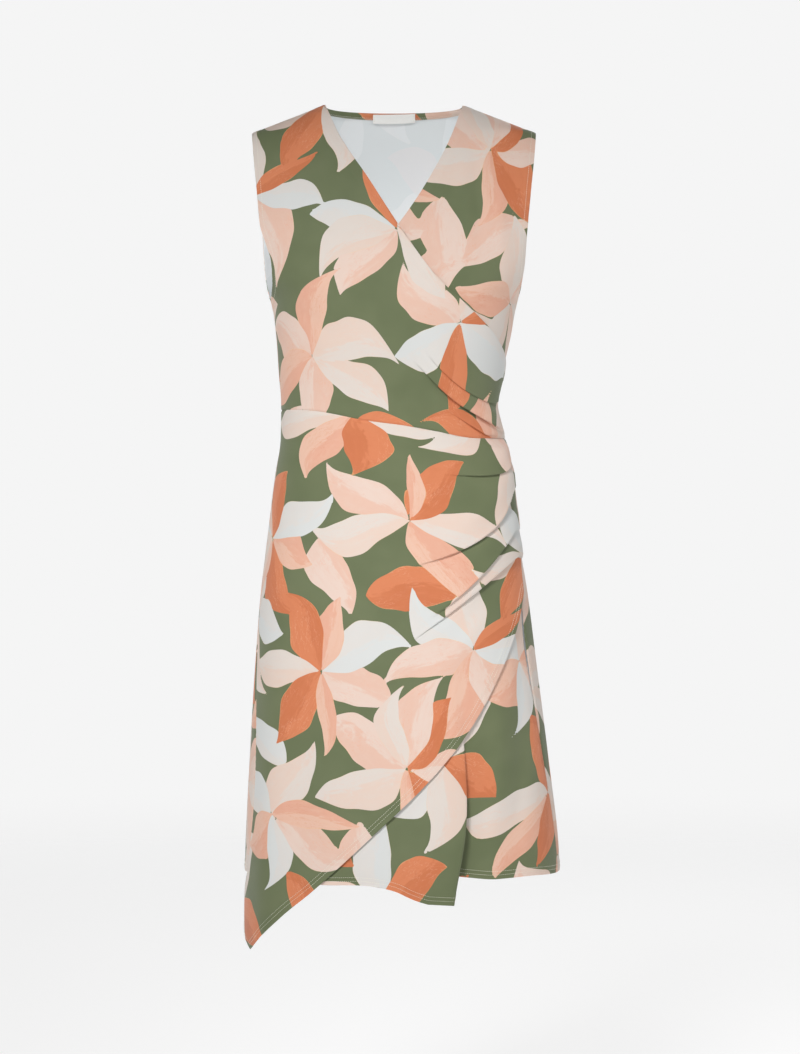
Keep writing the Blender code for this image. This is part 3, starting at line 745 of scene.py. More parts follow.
def crowdTowards(tucks, places):
    # draws a grid's points closer together along each tuck's line, where the cloth bends most
    angle, level = places[..., 0].copy(), places[..., 1].copy()
    calm = np.ones(angle.shape)
    for line in (places[0], places[-1], places[:, 0], places[:, -1]):
        fromLine = distanceTo(clothAt(places, calm * 0), clothAt(line, np.zeros(len(line))))
        calm = calm * ease(fromLine, 0.0, tuckForm["calmBorder"])
    for tuck in tucks:
        x = onForm(angle, level)[..., 0]
        signed, share, up = besideTuck(tuck, x, level)
        near = np.exp(-((signed / tuckForm["crowdWidth"]) ** 2))
        pull = tuckForm["crowding"] * signed * near * calm * ease(share, 1.0, tuckForm["crowdEnd"])
        perDegree = onForm(angle + 0.5, level)[..., 0] - onForm(angle - 0.5, level)[..., 0]
        angle = angle - pull * up[..., 0] / np.maximum(np.abs(perDegree), tuckForm["leastPerDegree"])
        level = level - pull * up[..., 1]
    return np.stack([angle, level], axis=-1)


def foldTucks(tucks, places, middle, waist):
    # lifts and slides the cloth above each tuck's line, and says how much cloth the tucks take up
    x, level = onForm(places[..., 0], places[..., 1])[..., 0], places[..., 1]
    normal = gridNormals(middle)
    calm = ease(distanceTo(middle, waist), 0.0, tuckForm["calmWidth"])
    least = tuckForm["turnedAway"]
    calm = calm * (least + (1 - least) * ease(-normal[..., 1], 0.0, tuckForm["facing"]))
    taken = np.zeros((*x.shape, 2))
    moved = middle
    for tuck in tucks:
        signed, share, up = besideTuck(tuck, x, level)
        along = (1 - share**2) * calm
        rise = ease(signed, -tuckForm["roll"], tuckForm["roll"])
        above = np.maximum(signed, 0) / tuck.fade
        lift = tuck.height * rise * np.exp(-(above**2))
        lift = lift + tuck.puff * ease(above, 0, 1) * np.exp(-((above - tuckForm["puffAt"]) ** 2))
        slide = tuck.over * along * rise * np.exp(-((above / tuckForm["slideReach"]) ** 2))
        tangent = np.stack([up[..., 0], np.zeros(x.shape), up[..., 1]], axis=-1)
        tangent = tangent - normal * (tangent * normal).sum(-1, keepdims=True)
        moved = moved + normal * (lift * along)[..., None] - tangent * slide[..., None]
        t, _, acrossChord = alongLine(x, level, np.array(tuck.root), np.array(tuck.tip))
        fullness = (1 - np.clip(t, 0, 1) ** 2) ** 2
        taken = taken + acrossChord * (tuck.intake * fullness * rise)[..., None]
    return moved, taken


# Flutes of the skirt, in degrees
fluteColumns = "angle start height width"
frontFlutes = tableOf(fluteColumns, (-52.0, -0.62, 0.006, 11.0), (-18.0, -0.70, 0.004, 12.0))
backFlutes = tableOf(
    fluteColumns,
    (114.0, -0.60, 0.006, 15.0),
    (156.0, -0.55, 0.009, 17.0),
    (203.0, -0.58, 0.010, 18.0),
    (248.0, -0.60, 0.007, 15.0),
)
fluteFull = -1.076


def fluteHeight(flutes, angle, level):
    total = np.zeros(np.shape(angle))
    for flute in flutes:
        grown = ease(-level, -flute.start, -fluteFull)
        total = total + flute.height * grown * np.exp(-(((angle - flute.angle) / flute.width) ** 2))
    return total


# The under skirt's deep fold, which turns back on itself
deepFold = {
    "topX": 0.110,
    "hemX": 0.056,
    "halfWidth": 0.015,
    "start": -0.700,
    "full": -1.033,
    "overlap": 0.025,
    "overlapGrowth": 1.3,
    "depth": 0.012,
    "spread": 20.0,
    "dipGrowth": 4,
    "swerve": 0.0155,  # the fold's line bends this far to the wearer's left, between these levels
    "swerveRises": (-1.0, -0.81),
    "swerveFalls": (-0.55, -0.70),
    "sag": 0.0024,
    "calmColumns": 6,  # behind the fold, before the creases begin
}


def foldReach():
    level = cut["hemLevel"]
    return float(degreesFor(deepFold["halfWidth"], angleOf(deepFold["hemX"], level), level))


def foldGrown(level):
    return ease(-level, -deepFold["start"], -deepFold["full"])


def foldPush(angle, level, start, end):
    # how far the cloth beside the fold stands out, in front of it, or in, behind it
    away = np.maximum(np.maximum(start - angle, angle - end), 0)
    side = np.cos(np.pi * np.clip((angle - start) / (end - start), 0, 1))
    return deepFold["depth"] * foldGrown(level) * side * np.exp(-((away / deepFold["spread"]) ** 2))


# The print: petals that spread from points, laid out in a repeat

repeat = {
    "width": 0.700,
    "height": 0.690,
    "across": 4,
    "down": 4,
    "stagger": (0.5, 0.35),
    "jitter": 0.014,
    "petals": (6, 8),
    "tries": 14,
    "fillers": 9,
    "seed": 31,
    "cell": 0.004,
    "lap": 0.0006,  # colours overlap this much where petals meet
    "turnJitter": 0.35,
    "petalOverlap": 1.3,  # what a try loses for covering a petal, against what it gains for bare ground
    "fillerOverlap": 0.12,
}
petalShape = {
    "length": (0.080, 0.126),
    "broad": (0.033, 0.056),
    "slim": (0.017, 0.027),
    "slimChance": 0.12,
    "slimTerracotta": 0.4,
    "leftShare": (0.3, 0.7),
    "bend": (0.10, 0.46),
    "curl": (0.08, 0.65),
    "lean": (0.75, 1.25),
    "tip": (0.8, 1.7),
    "waves": (0.08, 0.03),
    "thinTip": 0.007,  # the last of a drawn-out tip is too thin to print
    "thinRoot": 0.0015,
    "blunt": 0.014,
    "reach": 1.25,  # lengths from its root that a petal can be found in
}
farOutside = -0.05  # metres outside a petal that aren't told apart
Petal = namedtuple("Petal", "u v heading length left right bend curl lean tip family")
families = ["white", "cream", "peach", "salmon", "terracotta"]
familyShares = [0.19, 0.34, 0.16, 0.11, 0.20]


def fromRoot(petal, u, v):
    # the shortest way from a petal's root, over the repeat's edges too
    away = [(u - petal.u, repeat["width"]), (v - petal.v, repeat["height"])]
    return [(distance + size / 2) % size - size / 2 for distance, size in away]


def petalAt(petal, u, v):
    # for places near a petal: depth inside it, share along it, and share across it
    du, dv = fromRoot(petal, u, v)
    ahead = (du * math.cos(petal.heading) + dv * math.sin(petal.heading)) / petal.length
    aside = (dv * math.cos(petal.heading) - du * math.sin(petal.heading)) / petal.length
    t = np.clip(ahead, 0.001, 0.999)
    aside = aside - petal.bend * t**2 - petal.curl * t**5
    slope = 2 * petal.bend * t + 5 * petal.curl * t**4
    peak = petal.lean / (petal.lean + petal.tip)
    most = peak**petal.lean * (1 - peak) ** petal.tip
    onLeft = aside > 0
    half = np.where(onLeft, petal.left, petal.right)
    width = half * t**petal.lean * (1 - t) ** petal.tip / most
    slow, quick = petalShape["waves"]
    wavy = 1 + slow * np.sin(9 * t + 40 * petal.left) + quick * np.sin(23 * t + 90 * petal.right)
    width = width * wavy
    widening = width * (petal.lean / t - petal.tip / (1 - t)) - np.where(onLeft, -slope, slope)
    depth = (width - np.abs(aside)) / np.sqrt(1 + widening**2)
    depth = depth - petalShape["thinTip"] * ease(t, 0.7, 0.95) - petalShape["thinRoot"] * ease(t, 0.06, 0.0)
    beyond = -np.hypot(ahead - t, aside) - np.where(ahead > 0.5, petalShape["blunt"], 0)
    depth = np.where(np.abs(ahead - t) > 0, beyond, depth)
    return depth * petal.length, t, aside / half


def near(petal, u, v):
    du, dv = fromRoot(petal, u, v)
    return np.flatnonzero(du**2 + dv**2 < (petalShape["reach"] * petal.length) ** 2)


def drawPetal(draw, u, v, heading, family):
    shape = petalShape
    length = draw.uniform(*shape["length"])
    slim = families[family] == "terracotta" and draw.random() < shape["slimTerracotta"]
    slim = slim or draw.random() < shape["slimChance"]
    width = draw.uniform(*shape["slim" if slim else "broad"]) / length
    share = draw.uniform(*shape["leftShare"])
    way = draw.choice([-1, 1])
    return Petal(
        u, v, heading, length, width * share, width * (1 - share),
        way * draw.uniform(*shape["bend"]), -way * draw.uniform(*shape["curl"]),
        draw.uniform(*shape["lean"]), draw.uniform(*shape["tip"]), family,
    )


def layOutPetals():
    # each petal is the best of several tries: the one that covers most bare ground
    draw = np.random.default_rng(repeat["seed"])
    columns, rows = (np.arange(round(repeat[side] / repeat["cell"])) for side in ("width", "height"))
    u, v = (g.ravel() for g in np.meshgrid(columns * repeat["cell"], rows * repeat["cell"]))
    layers = np.zeros(len(u))

    def place(tries, cost):
        best, most = None, -1e9
        for petal in tries:
            close = near(petal, u, v)
            covered = close[petalAt(petal, u[close], v[close])[0] > 0]
            fresh = np.count_nonzero(layers[covered] == 0)
            gain = (fresh - cost * (len(covered) - fresh)) * repeat["cell"] ** 2
            if gain > most:
                best, most, over = petal, gain, covered
        layers[over] += 1
        return best

    hearts = []
    for row in range(repeat["down"]):
        for column in range(repeat["across"]):
            at = (column + repeat["stagger"][0] * (row % 2)) * repeat["width"] / repeat["across"]
            down = (row + repeat["stagger"][1] * (column % 2)) * repeat["height"] / repeat["down"]
            hearts.append((at + draw.normal(0, repeat["jitter"]), down + draw.normal(0, repeat["jitter"])))
    order = []
    for heart in hearts:
        count = int(draw.integers(repeat["petals"][0], repeat["petals"][1] + 1))
        turn = draw.uniform(0, 2 * math.pi)
        last = -1
        for k in range(count):
            shares = np.array(familyShares)
            if last >= 0:
                shares[last] = 0
            last = int(draw.choice(len(families), p=shares / shares.sum()))
            order.append((heart, turn + k * 2 * math.pi / count, last, k))
    order.sort(key=lambda item: item[3])
    petals = []
    for heart, heading, family, _ in order:
        tries = []
        for _ in range(repeat["tries"]):
            turned = heading + draw.uniform(-repeat["turnJitter"], repeat["turnJitter"])
            tries.append(drawPetal(draw, *heart, turned, family))
        petals.append(place(tries, repeat["petalOverlap"]))
    fillers = []
    for _ in range(repeat["fillers"]):
        family = int(draw.choice(len(families), p=familyShares))
        bare = np.flatnonzero(layers == 0)
        tries = []
        for _ in range(4 * repeat["tries"]):
            heading = draw.uniform(0, 2 * math.pi)
            spot = draw.choice(bare)
            length = draw.uniform(*petalShape["length"])
            start = u[spot] - 0.5 * length * math.cos(heading), v[spot] - 0.5 * length * math.sin(heading)
            tries.append(drawPetal(draw, *start, heading, family))
        fillers.append(place(tries, repeat["fillerOverlap"]))
    return fillers[::-1] + petals


def printFields(u, v):
    # the place on the print and, for each colour, depth inside its petals, share along the petal, and
    # share across it
    fields = {"cloth": np.stack([u, v, np.zeros(u.shape)], axis=-1)}
    shape = u.shape
    u, v = u.ravel(), v.ravel()
    count = (len(families), len(u))
    inside, nearest = np.full(count, farOutside), np.full(count, -1.0)
    along, across = np.zeros(count), np.zeros(count)
    for petal in petals:
        close = near(petal, u, v)
        depth, t, side = petalAt(petal, u[close], v[close])
        for k in range(len(families)):
            if k != petal.family:
                inside[k, close] = np.minimum(inside[k, close], repeat["lap"] - depth)
        k = petal.family
        inside[k, close] = np.maximum(inside[k, close], depth)
        better = depth > nearest[k, close]
        chosen = close[better]
        nearest[k, chosen] = depth[better]
        along[k, chosen] = t[better]
        across[k, chosen] = side[better]
    for k, name in enumerate(families):
        fields[name] = np.stack([inside[k], along[k], across[k]], axis=-1).reshape(*shape, 3)
    return fields


def wayRound(angle, level):
    # the length of cloth round the form, from the front centre or, on the back, from the back centre
    ways = waysAlong(onForm(*np.meshgrid(chartAngles, chartLevels)), 1)
    onBack = angle.max() > 181
    centre = np.searchsorted(chartAngles, 180.0 if onBack else 0.0)
    ways = ways - ways[:, [centre]]
    steps = []
    for value, marks in ((level, chartLevels), (angle, chartAngles)):
        at = np.clip((value - marks[0]) / (marks[1] - marks[0]), 0, len(marks) - 1.001)
        steps.append((at.astype(int), at % 1))
    (i, s), (j, t) = steps
    lower = ways[i, j] * (1 - t) + ways[i, j + 1] * t
    upper = ways[i + 1, j] * (1 - t) + ways[i + 1, j + 1] * t
    return lower * (1 - s) + upper * s


# Meshes


def distanceTo(points, line):
    # from each point to the nearest place on a line
    way = waysAlong(line)
    dense = atShares(np.linspace(0, way[-1], max(int(way[-1] / fineness["edge"]), 2)), way, line)
    tree = kdtree.KDTree(len(dense))
    for k, place in enumerate(dense):
        tree.insert(place, k)
    tree.balance()
    found = np.array([tree.find(place)[2] for place in points.reshape(-1, 3)])
    return found.reshape(points.shape[:-1])


def linkPiece(mesh):
    piece = addObject(mesh.name, mesh)
    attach(piece, "root")
    return piece


flatMapEdge = 0.002  # a margin on the flat map, whose halves are the face's side and the reverse


def clothShell(name, node, slotName, middle, normal, thickness, fields, *looks):
    # a thin closed shell, half its thickness to each side of a grid of points
    rows, columns = middle.shape[:2]
    half = normal * (np.broadcast_to(thickness, middle.shape[:2]) / 2)[..., None]
    points = np.concatenate([(middle + half).reshape(-1, 3), (middle - half).reshape(-1, 3)])
    depth = rows * columns
    number = np.arange(depth).reshape(rows, columns)
    corners = [number[:-1, :-1], number[1:, :-1], number[1:, 1:], number[:-1, 1:]]
    face = np.stack([c.ravel() for c in corners], axis=1)
    rim = np.concatenate([number[0, :-1], number[:-1, -1], number[-1, :0:-1], number[:0:-1, 0]])
    nextRim = np.roll(rim, -1)
    wall = np.stack([rim, nextRim, nextRim + depth, rim + depth], axis=1)
    quads = np.concatenate([face, face[:, ::-1] + depth, wall])
    mesh = bpy.data.meshes.new(name)
    mesh.from_pydata(points.tolist(), [], quads.tolist())
    for look in looks:
        mesh.materials.append(finishes[look])
    which = np.zeros(len(quads), int)
    which[len(face) : 2 * len(face)] = 1
    mesh.polygons.foreach_set("material_index", which)
    for field, values in fields.items():
        layer = mesh.attributes.new(field, "FLOAT_VECTOR", "POINT")
        layer.data.foreach_set("vector", np.tile(values.reshape(-1, 3), (2, 1)).astype(np.float32).ravel())
    across = np.broadcast_to(np.linspace(flatMapEdge, 0.5 - flatMapEdge, columns), (rows, columns)).ravel()
    down = np.linspace(1 - flatMapEdge, flatMapEdge, rows)[:, None]
    down = np.broadcast_to(down, (rows, columns)).ravel()
    flat = np.column_stack([np.concatenate([across, across + 0.5]), np.tile(down, 2)])
    mesh.uv_layers.new(name="OFBake").data.foreach_set("uv", flat[quads.ravel()].astype(np.float32).ravel())
    mesh.shade_smooth()
    mesh.set_sharp_from_angle(angle=math.radians(75))
    piece = linkPiece(mesh)
    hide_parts(node)
    print(name, len(mesh.polygons), "faces")
    return piece


def edgeLine(middle, edge, start=0.0, end=1.0):
    # part of a grid's own border, by shares of its count
    line = {"top": middle[0], "bottom": middle[-1], "first": middle[:, 0], "last": middle[:, -1]}[edge]
    count = len(line) - 1
    return line[round(start * count) : round(end * count) + 1]


# Stitches

needle = {
    "pitch": 0.0027,
    "length": 0.0021,
    "thread": 0.00045,
    "sides": 5,
    "rings": 4,
    "arch": 1.1,  # a stitch rises this many threads over its middle, and sinks its ends in the cloth
    "sunk": 0.45,
    "endShare": 0.55,  # of the thread's thickness
    "fromArmhole": 0.0065,
    "fromHem": (0.0052, 0.0098),
    "fromSlant": (0.0062, 0.0105),
    "fromPoint": 0.0055,
}


def contour(middle, normal, away, distance, byRows, fromEnd):
    # the places at a distance from an edge, one for each column, or for each row
    if byRows:
        middle, normal, away = middle.transpose(1, 0, 2), normal.transpose(1, 0, 2), away.T
    if fromEnd:
        middle, normal, away = middle[::-1], normal[::-1], away[::-1]
    found = []
    for j in range(middle.shape[1]):
        over = np.flatnonzero(away[:, j] >= distance)
        if not len(over) or over[0] == 0:
            continue
        i = over[0]
        t = (distance - away[i - 1, j]) / (away[i, j] - away[i - 1, j])
        found.append([line[i - 1, j] * (1 - t) + line[i, j] * t for line in (middle, normal)])
    return np.array(found).transpose(1, 0, 2)


def besideEdge(middle, normal, edge, start, end, distance, short=0):
    # a row of stitches' line: it follows part of an edge at a distance
    away = distanceTo(middle, edgeLine(middle, edge, start, end))
    byRows = edge in ("first", "last")
    count = middle.shape[0 if byRows else 1]
    part = slice(round(count * start), round(count * end) - short)
    within = (part,) if byRows else (slice(None), part)
    return contour(middle[within], normal[within], away[within], distance, byRows, edge in ("last", "bottom"))


def aboveHem(middle, normal, distance):
    up = waysAlong(middle[::-1])[::-1]
    return contour(middle, normal, up, distance, False, True)


def stitchRow(line, normals, lift):
    # short arched threads along a line on the cloth: points and faces of one mesh
    way = waysAlong(line)
    starts = np.arange(needle["pitch"] / 2, way[-1] - needle["length"], needle["pitch"])
    share = even(needle["rings"])
    at = starts[:, None] + share[None] * needle["length"]
    centre = atShares(at, way, line)
    up = unit(atShares(at, way, normals))
    aside = np.cross(unit(np.gradient(centre, axis=1)), up)
    arch = np.sin(np.pi * share)
    lift = lift + needle["thread"] * (needle["arch"] * arch[None] - needle["sunk"])
    centre = centre + up * lift[..., None]
    turns = np.linspace(0, 2 * np.pi, needle["sides"], endpoint=False)
    radius = needle["thread"] / 2 * (needle["endShare"] + (1 - needle["endShare"]) * arch)
    around = aside[..., None, :] * np.cos(turns)[:, None] + up[..., None, :] * np.sin(turns)[:, None]
    points = centre[..., None, :] + around * radius[None, :, None, None]
    number = np.arange(points[..., 0].size).reshape(points.shape[:-1])
    a, b = number[:, :-1], number[:, 1:]
    faces = np.stack([a, np.roll(a, -1, axis=2), np.roll(b, -1, axis=2), b], axis=-1)
    return points.reshape(-1, 3), faces.reshape(-1, 4), number


def stitchMesh(name, lines, thickness):
    # rows of stitches on cloth of this thickness
    points, faces, ends, count = [], [], [], 0
    for line, normals in lines:
        rowPoints, rowFaces, number = stitchRow(line, normals, thickness / 2)
        points.append(rowPoints)
        faces.append(rowFaces + count)
        ends.extend((number[:, 0, ::-1] + count).tolist())
        ends.extend((number[:, -1] + count).tolist())
        count += len(rowPoints)
    mesh = bpy.data.meshes.new(name)
    mesh.from_pydata(np.concatenate(points).tolist(), [], np.concatenate(faces).tolist() + ends)
    mesh.shade_smooth()
    mesh.materials.append(finishes["thread"])
    return linkPiece(mesh)


# Finishes: two inks for each colour of petal, its veins, how patchy they are, and its brush strokes.
# Sizes are metres on the cloth, and scales are the noise's own

ink = {
    "ground": ((0.112, 0.136, 0.062), (0.130, 0.153, 0.073)),
    "outline": (0.790, 0.520, 0.230),
    "reverse": (0.800, 0.830, 0.845),
    "showThrough": 0.09,
    "label": ((0.86, 0.845, 0.81), (0.91, 0.90, 0.87)),
    "thread": ((0.66, 0.64, 0.52), (0.80, 0.78, 0.68)),
}
brush = {
    "broad": 16.0,
    "fine": 110.0,
    "patches": 23.0,
    "rag": 900.0,
    "raggedness": 0.0003,
    "edge": 0.00012,
    "veinWidth": 0.022,
    "veinInk": 0.4,
    "rim": (0.0001, 0.0005),  # where it lies, and its width
    "rimInk": 0.45,
    "fineTone": 0.5,
    "rootTone": 0.25,
    "halfTone": 0.65,
}
knit = {"wales": 0.00055, "courses": 0.00050, "fuzz": 900.0, "relief": 0.00004}
petalInk = tableOf(
    "first second vein mottle strokes",
    ((0.600, 0.612, 0.602), (0.640, 0.595, 0.555), (0.740, 0.600, 0.530), 0.15, 0.25),
    ((0.645, 0.580, 0.528), (0.680, 0.527, 0.444), (0.760, 0.450, 0.340), 0.7, 0.6),
    ((0.692, 0.540, 0.464), (0.684, 0.448, 0.352), (0.720, 0.350, 0.230), 1.0, 0.9),
    ((0.705, 0.450, 0.340), (0.675, 0.355, 0.250), (0.620, 0.220, 0.120), 1.0, 0.9),
    ((0.530, 0.153, 0.057), (0.605, 0.196, 0.083), (0.760, 0.420, 0.280), 0.8, 0.9),
)


def paintPrint(board):
    # the printed side's colour
    place = board.field("cloth")
    broad = board.noise(place, brush["broad"], 2.0)
    fine = board.noise(place, brush["fine"], 4.0, 0.62)
    ragged = (board.noise(place, brush["rag"], 1.0) - 0.5) * brush["raggedness"]
    patchy = board.step(board.noise(place, brush["patches"], 1.0), 0.44, 0.60)
    colour = board.mix(board.step(broad, 0.3, 0.7), *ink["ground"])
    for name, paint in zip(families, petalInk):
        depth, along, across = board.parts(board.field(name))
        inside = board.step(depth + ragged, -brush["edge"], brush["edge"])
        # brush strokes run from the petal's root to its tip, and one side of it is darker
        stroke = board.noise(board.join(along * 1.1, across * 2.2, broad * 5.0), 1.6, 3.0, 0.55)
        half = board.step(across + (stroke - 0.5) * 1.6, -0.12, 0.22)
        tone = stroke * paint.strokes + fine * brush["fineTone"]
        tone = tone + board.step(along, 0.5, 0.0) * brush["rootTone"] + half * brush["halfTone"]
        petal = board.mix(board.step(tone, paint.strokes * 0.5 + 0.12, 1.55), paint.first, paint.second)
        veins = board.noise(board.join(along * 2.6, across * 3.0, broad * 3.0), 2.0, 3.0, 0.6)
        vein = board.step(abs(veins - 0.5), 0.0, brush["veinWidth"], 1.0, 0.0)
        petal = board.mix(vein * patchy * paint.mottle * brush["veinInk"], petal, paint.vein)
        rim = board.step(abs(depth - brush["rim"][0]), *brush["rim"], 1.0, 0.0)
        petal = board.mix(rim * patchy * brush["rimInk"], petal, ink["outline"])
        colour = board.mix(inside, colour, petal)
    return colour


def knitBump(board, strength):
    # fine wales down the cloth and courses across it
    place = board.field("cloth")
    x, y, _ = board.parts(place)
    height = board.wave(x, knit["wales"]) * 0.6 + board.wave(y, knit["courses"]) * 0.4
    height = height + board.noise(place, knit["fuzz"]) * 0.8
    return board.bump(height, knit["relief"], strength)


def makeFinishes():
    made = {}
    board = Board("printedJersey")
    made["print"] = board.finish(
        Base_Color=paintPrint(board),
        Roughness=0.78,
        Normal=knitBump(board, 0.5),
        Sheen_Weight=0.12,
        Sheen_Roughness=0.5,
    )
    board = Board("jerseyReverse")
    made["reverse"] = board.finish(
        Base_Color=board.mix(ink["showThrough"], ink["reverse"], paintPrint(board)),
        Roughness=0.85,
        Normal=knitBump(board, 0.6),
        Sheen_Weight=0.1,
    )
    board = Board("wovenLabel")
    place = board.place()
    x, _, z = board.parts(place)
    made["label"] = board.finish(
        Base_Color=board.mix(board.noise(place, 300.0), *ink["label"]),
        Roughness=0.55,
        Normal=board.bump(board.wave(x, 0.0007) + board.wave(z, 0.0005), 0.00005, 0.7),
        Sheen_Weight=0.2,
    )
    board = Board("stitchThread")
    made["thread"] = board.finish(
        Base_Color=board.mix(board.noise(board.place(), 2500.0, 1.0), *ink["thread"]),
        Roughness=0.55,
        Sheen_Weight=0.2,
    )
    return made


# Panels. Each dictionary says how fine its grid is, its flat size, where on the print it was cut, which
# parts of its edges are sewn, which are turned, and where stitches run


def sewPanel(panel, middle, places, taken=0.0, way=None):
    seams = [edgeLine(middle, *part) for part in panel["seams"]]
    turned = [edgeLine(middle, *part) for part in panel["turned"]]
    # the cloth turns in along each seam, so that two neighbours meet in a narrow valley
    away = np.min([distanceTo(middle, line) for line in seams], axis=0)
    depth = np.clip(1 - away / cloth["rollWidth"], 0, 1) ** 2 * cloth["rollDepth"]
    middle = middle - gridNormals(middle) * depth[..., None]
    normal = gridNormals(middle)
    # it is doubled along each turned edge
    fromEdge = np.min([distanceTo(middle, line) for line in turned], axis=0)
    doubled = ease(fromEdge, cloth["hemDepth"] + cloth["hemBlend"], cloth["hemDepth"] - cloth["hemBlend"])
    thickness = cloth["thickness"] + (cloth["doubled"] - cloth["thickness"]) * doubled
    rounding = 1 - (1 - np.clip(fromEdge / cloth["edgeRound"], 0, 1)) ** 2
    thickness = thickness * np.sqrt(np.clip(rounding, 0.05, 1))
    if way is None:
        way = wayRound(places[..., 0], places[..., 1])
    cutU, cutV, turn = panel["cutFrom"]
    grain = math.radians(turn)
    flat = np.stack([way, places[..., 1]], axis=-1) + taken
    u = flat[..., 0] * math.cos(grain) - flat[..., 1] * math.sin(grain) + cutU
    v = flat[..., 0] * math.sin(grain) + flat[..., 1] * math.cos(grain) + cutV
    piece = clothShell(
        panel["name"], panel["node"], "printed_jersey", middle, normal, thickness,
        printFields(u, v), "print", "reverse",
    )
    lines = [besideEdge(middle, normal, *row) for row in panel.get("stitches", ())]
    lines += [aboveHem(middle, normal, distance) for distance in panel.get("hemStitches", ())]
    stitches = stitchMesh(panel["stitchName"], lines, cloth["doubled"])
    return (panel, piece, stitches), middle, normal


def frontPlaces(side, edge, edgeEnd, waist, fine):
    neckPoint = atSeam(side, "front", 0)
    end = atSeam(-side, "front", edgeEnd)
    crossing = border(frontRun(neckPoint, edge, end), even(grid["crossing"] * fine))
    below = seamRun(-side, "front", edgeEnd, waistLevel(-side))
    below = border(below, even((grid["rows"] - grid["crossing"]) * fine))
    otherSide = np.concatenate([crossing[:-1], below])
    shoulder = border(smoothRun(atSeam(side, "front", cut["shoulderDrop"]), neckPoint), even(len(waist) - 1))
    ownSide = bodiceSide(side, "front", fine)
    if side > 0:
        return betweenBorders(shoulder[::-1], waist, otherSide, ownSide, "bottom")
    return betweenBorders(shoulder, waist, ownSide, otherSide, "bottom")


rightFront = {
    "name": "rightFrontBodice",
    "node": "right_front_bodice",
    "rowFine": 12,
    "columnFine": 8,
    "flat": (0.36, 0.42),
    "area": 0.115,
    "restsOn": ["leftFrontBodice"],
    "cutFrom": (0.10, 0.33, 0),
    "seams": [("top",), ("bottom",), ("first", armholeShare, 1), ("last", crossingShare, 1)],
    "turned": [("first", 0, armholeShare), ("last", 0, crossingShare)],
    "stitches": [("first", 0, armholeShare, needle["fromArmhole"])],
    "stitchName": "rightArmholeStitches",
}


def makeRightFront():
    def build(rowFine, columnFine):
        return frontPlaces(-1, crossEdge, cut["crossEnd"], crowdedWaist(columnFine), rowFine)

    places = crowdTowards(bodiceTucks, finePatch(build, rightFront))
    level = places[..., 1]
    x = onForm(places[..., 0], level)[..., 0]
    smooth = clothAt(places, crossLift(x) + creaseHeight(rightBodiceCreases, x, level))
    middle, taken = foldTucks(bodiceTucks, places, smooth, smooth[-1])
    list(sewPanel(rightFront, middle, places, taken)[0])


leftFront = {
    "name": "leftFrontBodice",
    "node": "left_front_bodice",
    "rowFine": 6,
    "columnFine": 5,
    "flat": (0.36, 0.42),
    "area": 0.110,
    "cutFrom": (0.41, 0.12, 4),
    "seams": [("top",), ("bottom",), ("last", armholeShare, 1)],
    "turned": [("last", 0, armholeShare), ("first", 0, crossingShare)],
    "stitches": [("last", 0, armholeShare, needle["fromArmhole"])],
    "stitchName": "leftArmholeStitches",
}


def makeLeftFront():
    def build(rowFine, columnFine):
        waist = border(frontWaistRun(), even(grid["columns"] * columnFine))
        return frontPlaces(1, hiddenEdge, cut["hiddenEnd"], waist, rowFine)

    places = finePatch(build, leftFront)
    level = places[..., 1]
    x = onForm(places[..., 0], level)[..., 0]
    middle = clothAt(places, underLift(x) + creaseHeight(leftBodiceCreases, x, level))
    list(sewPanel(leftFront, middle, places)[0])


backTop = {
    "name": "backBodice",
    "node": "back_bodice",
    "rowFine": 6,
    "columnFine": 6,
    "flat": (0.42, 0.43),
    "area": 0.165,
    "cutFrom": (0.25, 0.50, 0),
    "seams": [
        ("top", 0, neckShares[0]),
        ("top", neckShares[1], 1),
        ("bottom",),
        ("first", armholeShare, 1),
        ("last", armholeShare, 1),
    ],
    "turned": [("top", *neckShares), ("first", 0, armholeShare), ("last", 0, armholeShare)],
    "stitches": [
        ("first", 0, armholeShare, needle["fromArmhole"]),
        ("last", 0, armholeShare, needle["fromArmhole"]),
        ("top", *neckShares, needle["fromArmhole"]),
    ],
    "stitchName": "backBodiceStitches",
    "degree": 0.0024,  # the length of one, for the creases
    "spineDip": 0.0022,
    "spineWidth": 16,
    "spineEnds": ((-0.42, -0.30), (-0.05, -0.16)),
}


def makeBackBodice():
    def build(rowFine, columnFine):
        start, end = atSeam(1, "back", 0)[0], atSeam(-1, "back", 0)[0]
        angles = np.linspace(start, end, grid["backNeck"] * columnFine + 1)
        dip = cut["backNeckDrop"] * np.sin(np.radians(angles - 90))
        neckline = np.column_stack([angles, -dip])
        leftRun = smoothRun(atSeam(1, "back", cut["shoulderDrop"]), (start, 0))
        rightRun = smoothRun((end, 0), atSeam(-1, "back", cut["shoulderDrop"]))
        shares = even((grid["backColumns"] - grid["backNeck"]) // 2 * columnFine)
        top = np.concatenate([border(leftRun, shares)[:-1], neckline, border(rightRun, shares)[1:]])
        sides = [bodiceSide(side, "back", rowFine) for side in (1, -1)]
        return betweenBorders(top, backWaist(grid["backColumns"] * columnFine), *sides, "bottom")

    places = finePatch(build, backTop)
    angle, level = places[..., 0], places[..., 1]
    spine = -backTop["spineDip"] * np.exp(-(((angle - 180) / backTop["spineWidth"]) ** 2))
    for end in backTop["spineEnds"]:
        spine = spine * ease(level, *end)
    creases = creaseHeight(backBodiceCreases, angle, level, backTop["degree"])
    made, middle, normal = sewPanel(backTop, clothAt(places, spine + creases), places)
    makeNeckBand(middle, normal)
    makeLabel(middle, normal)


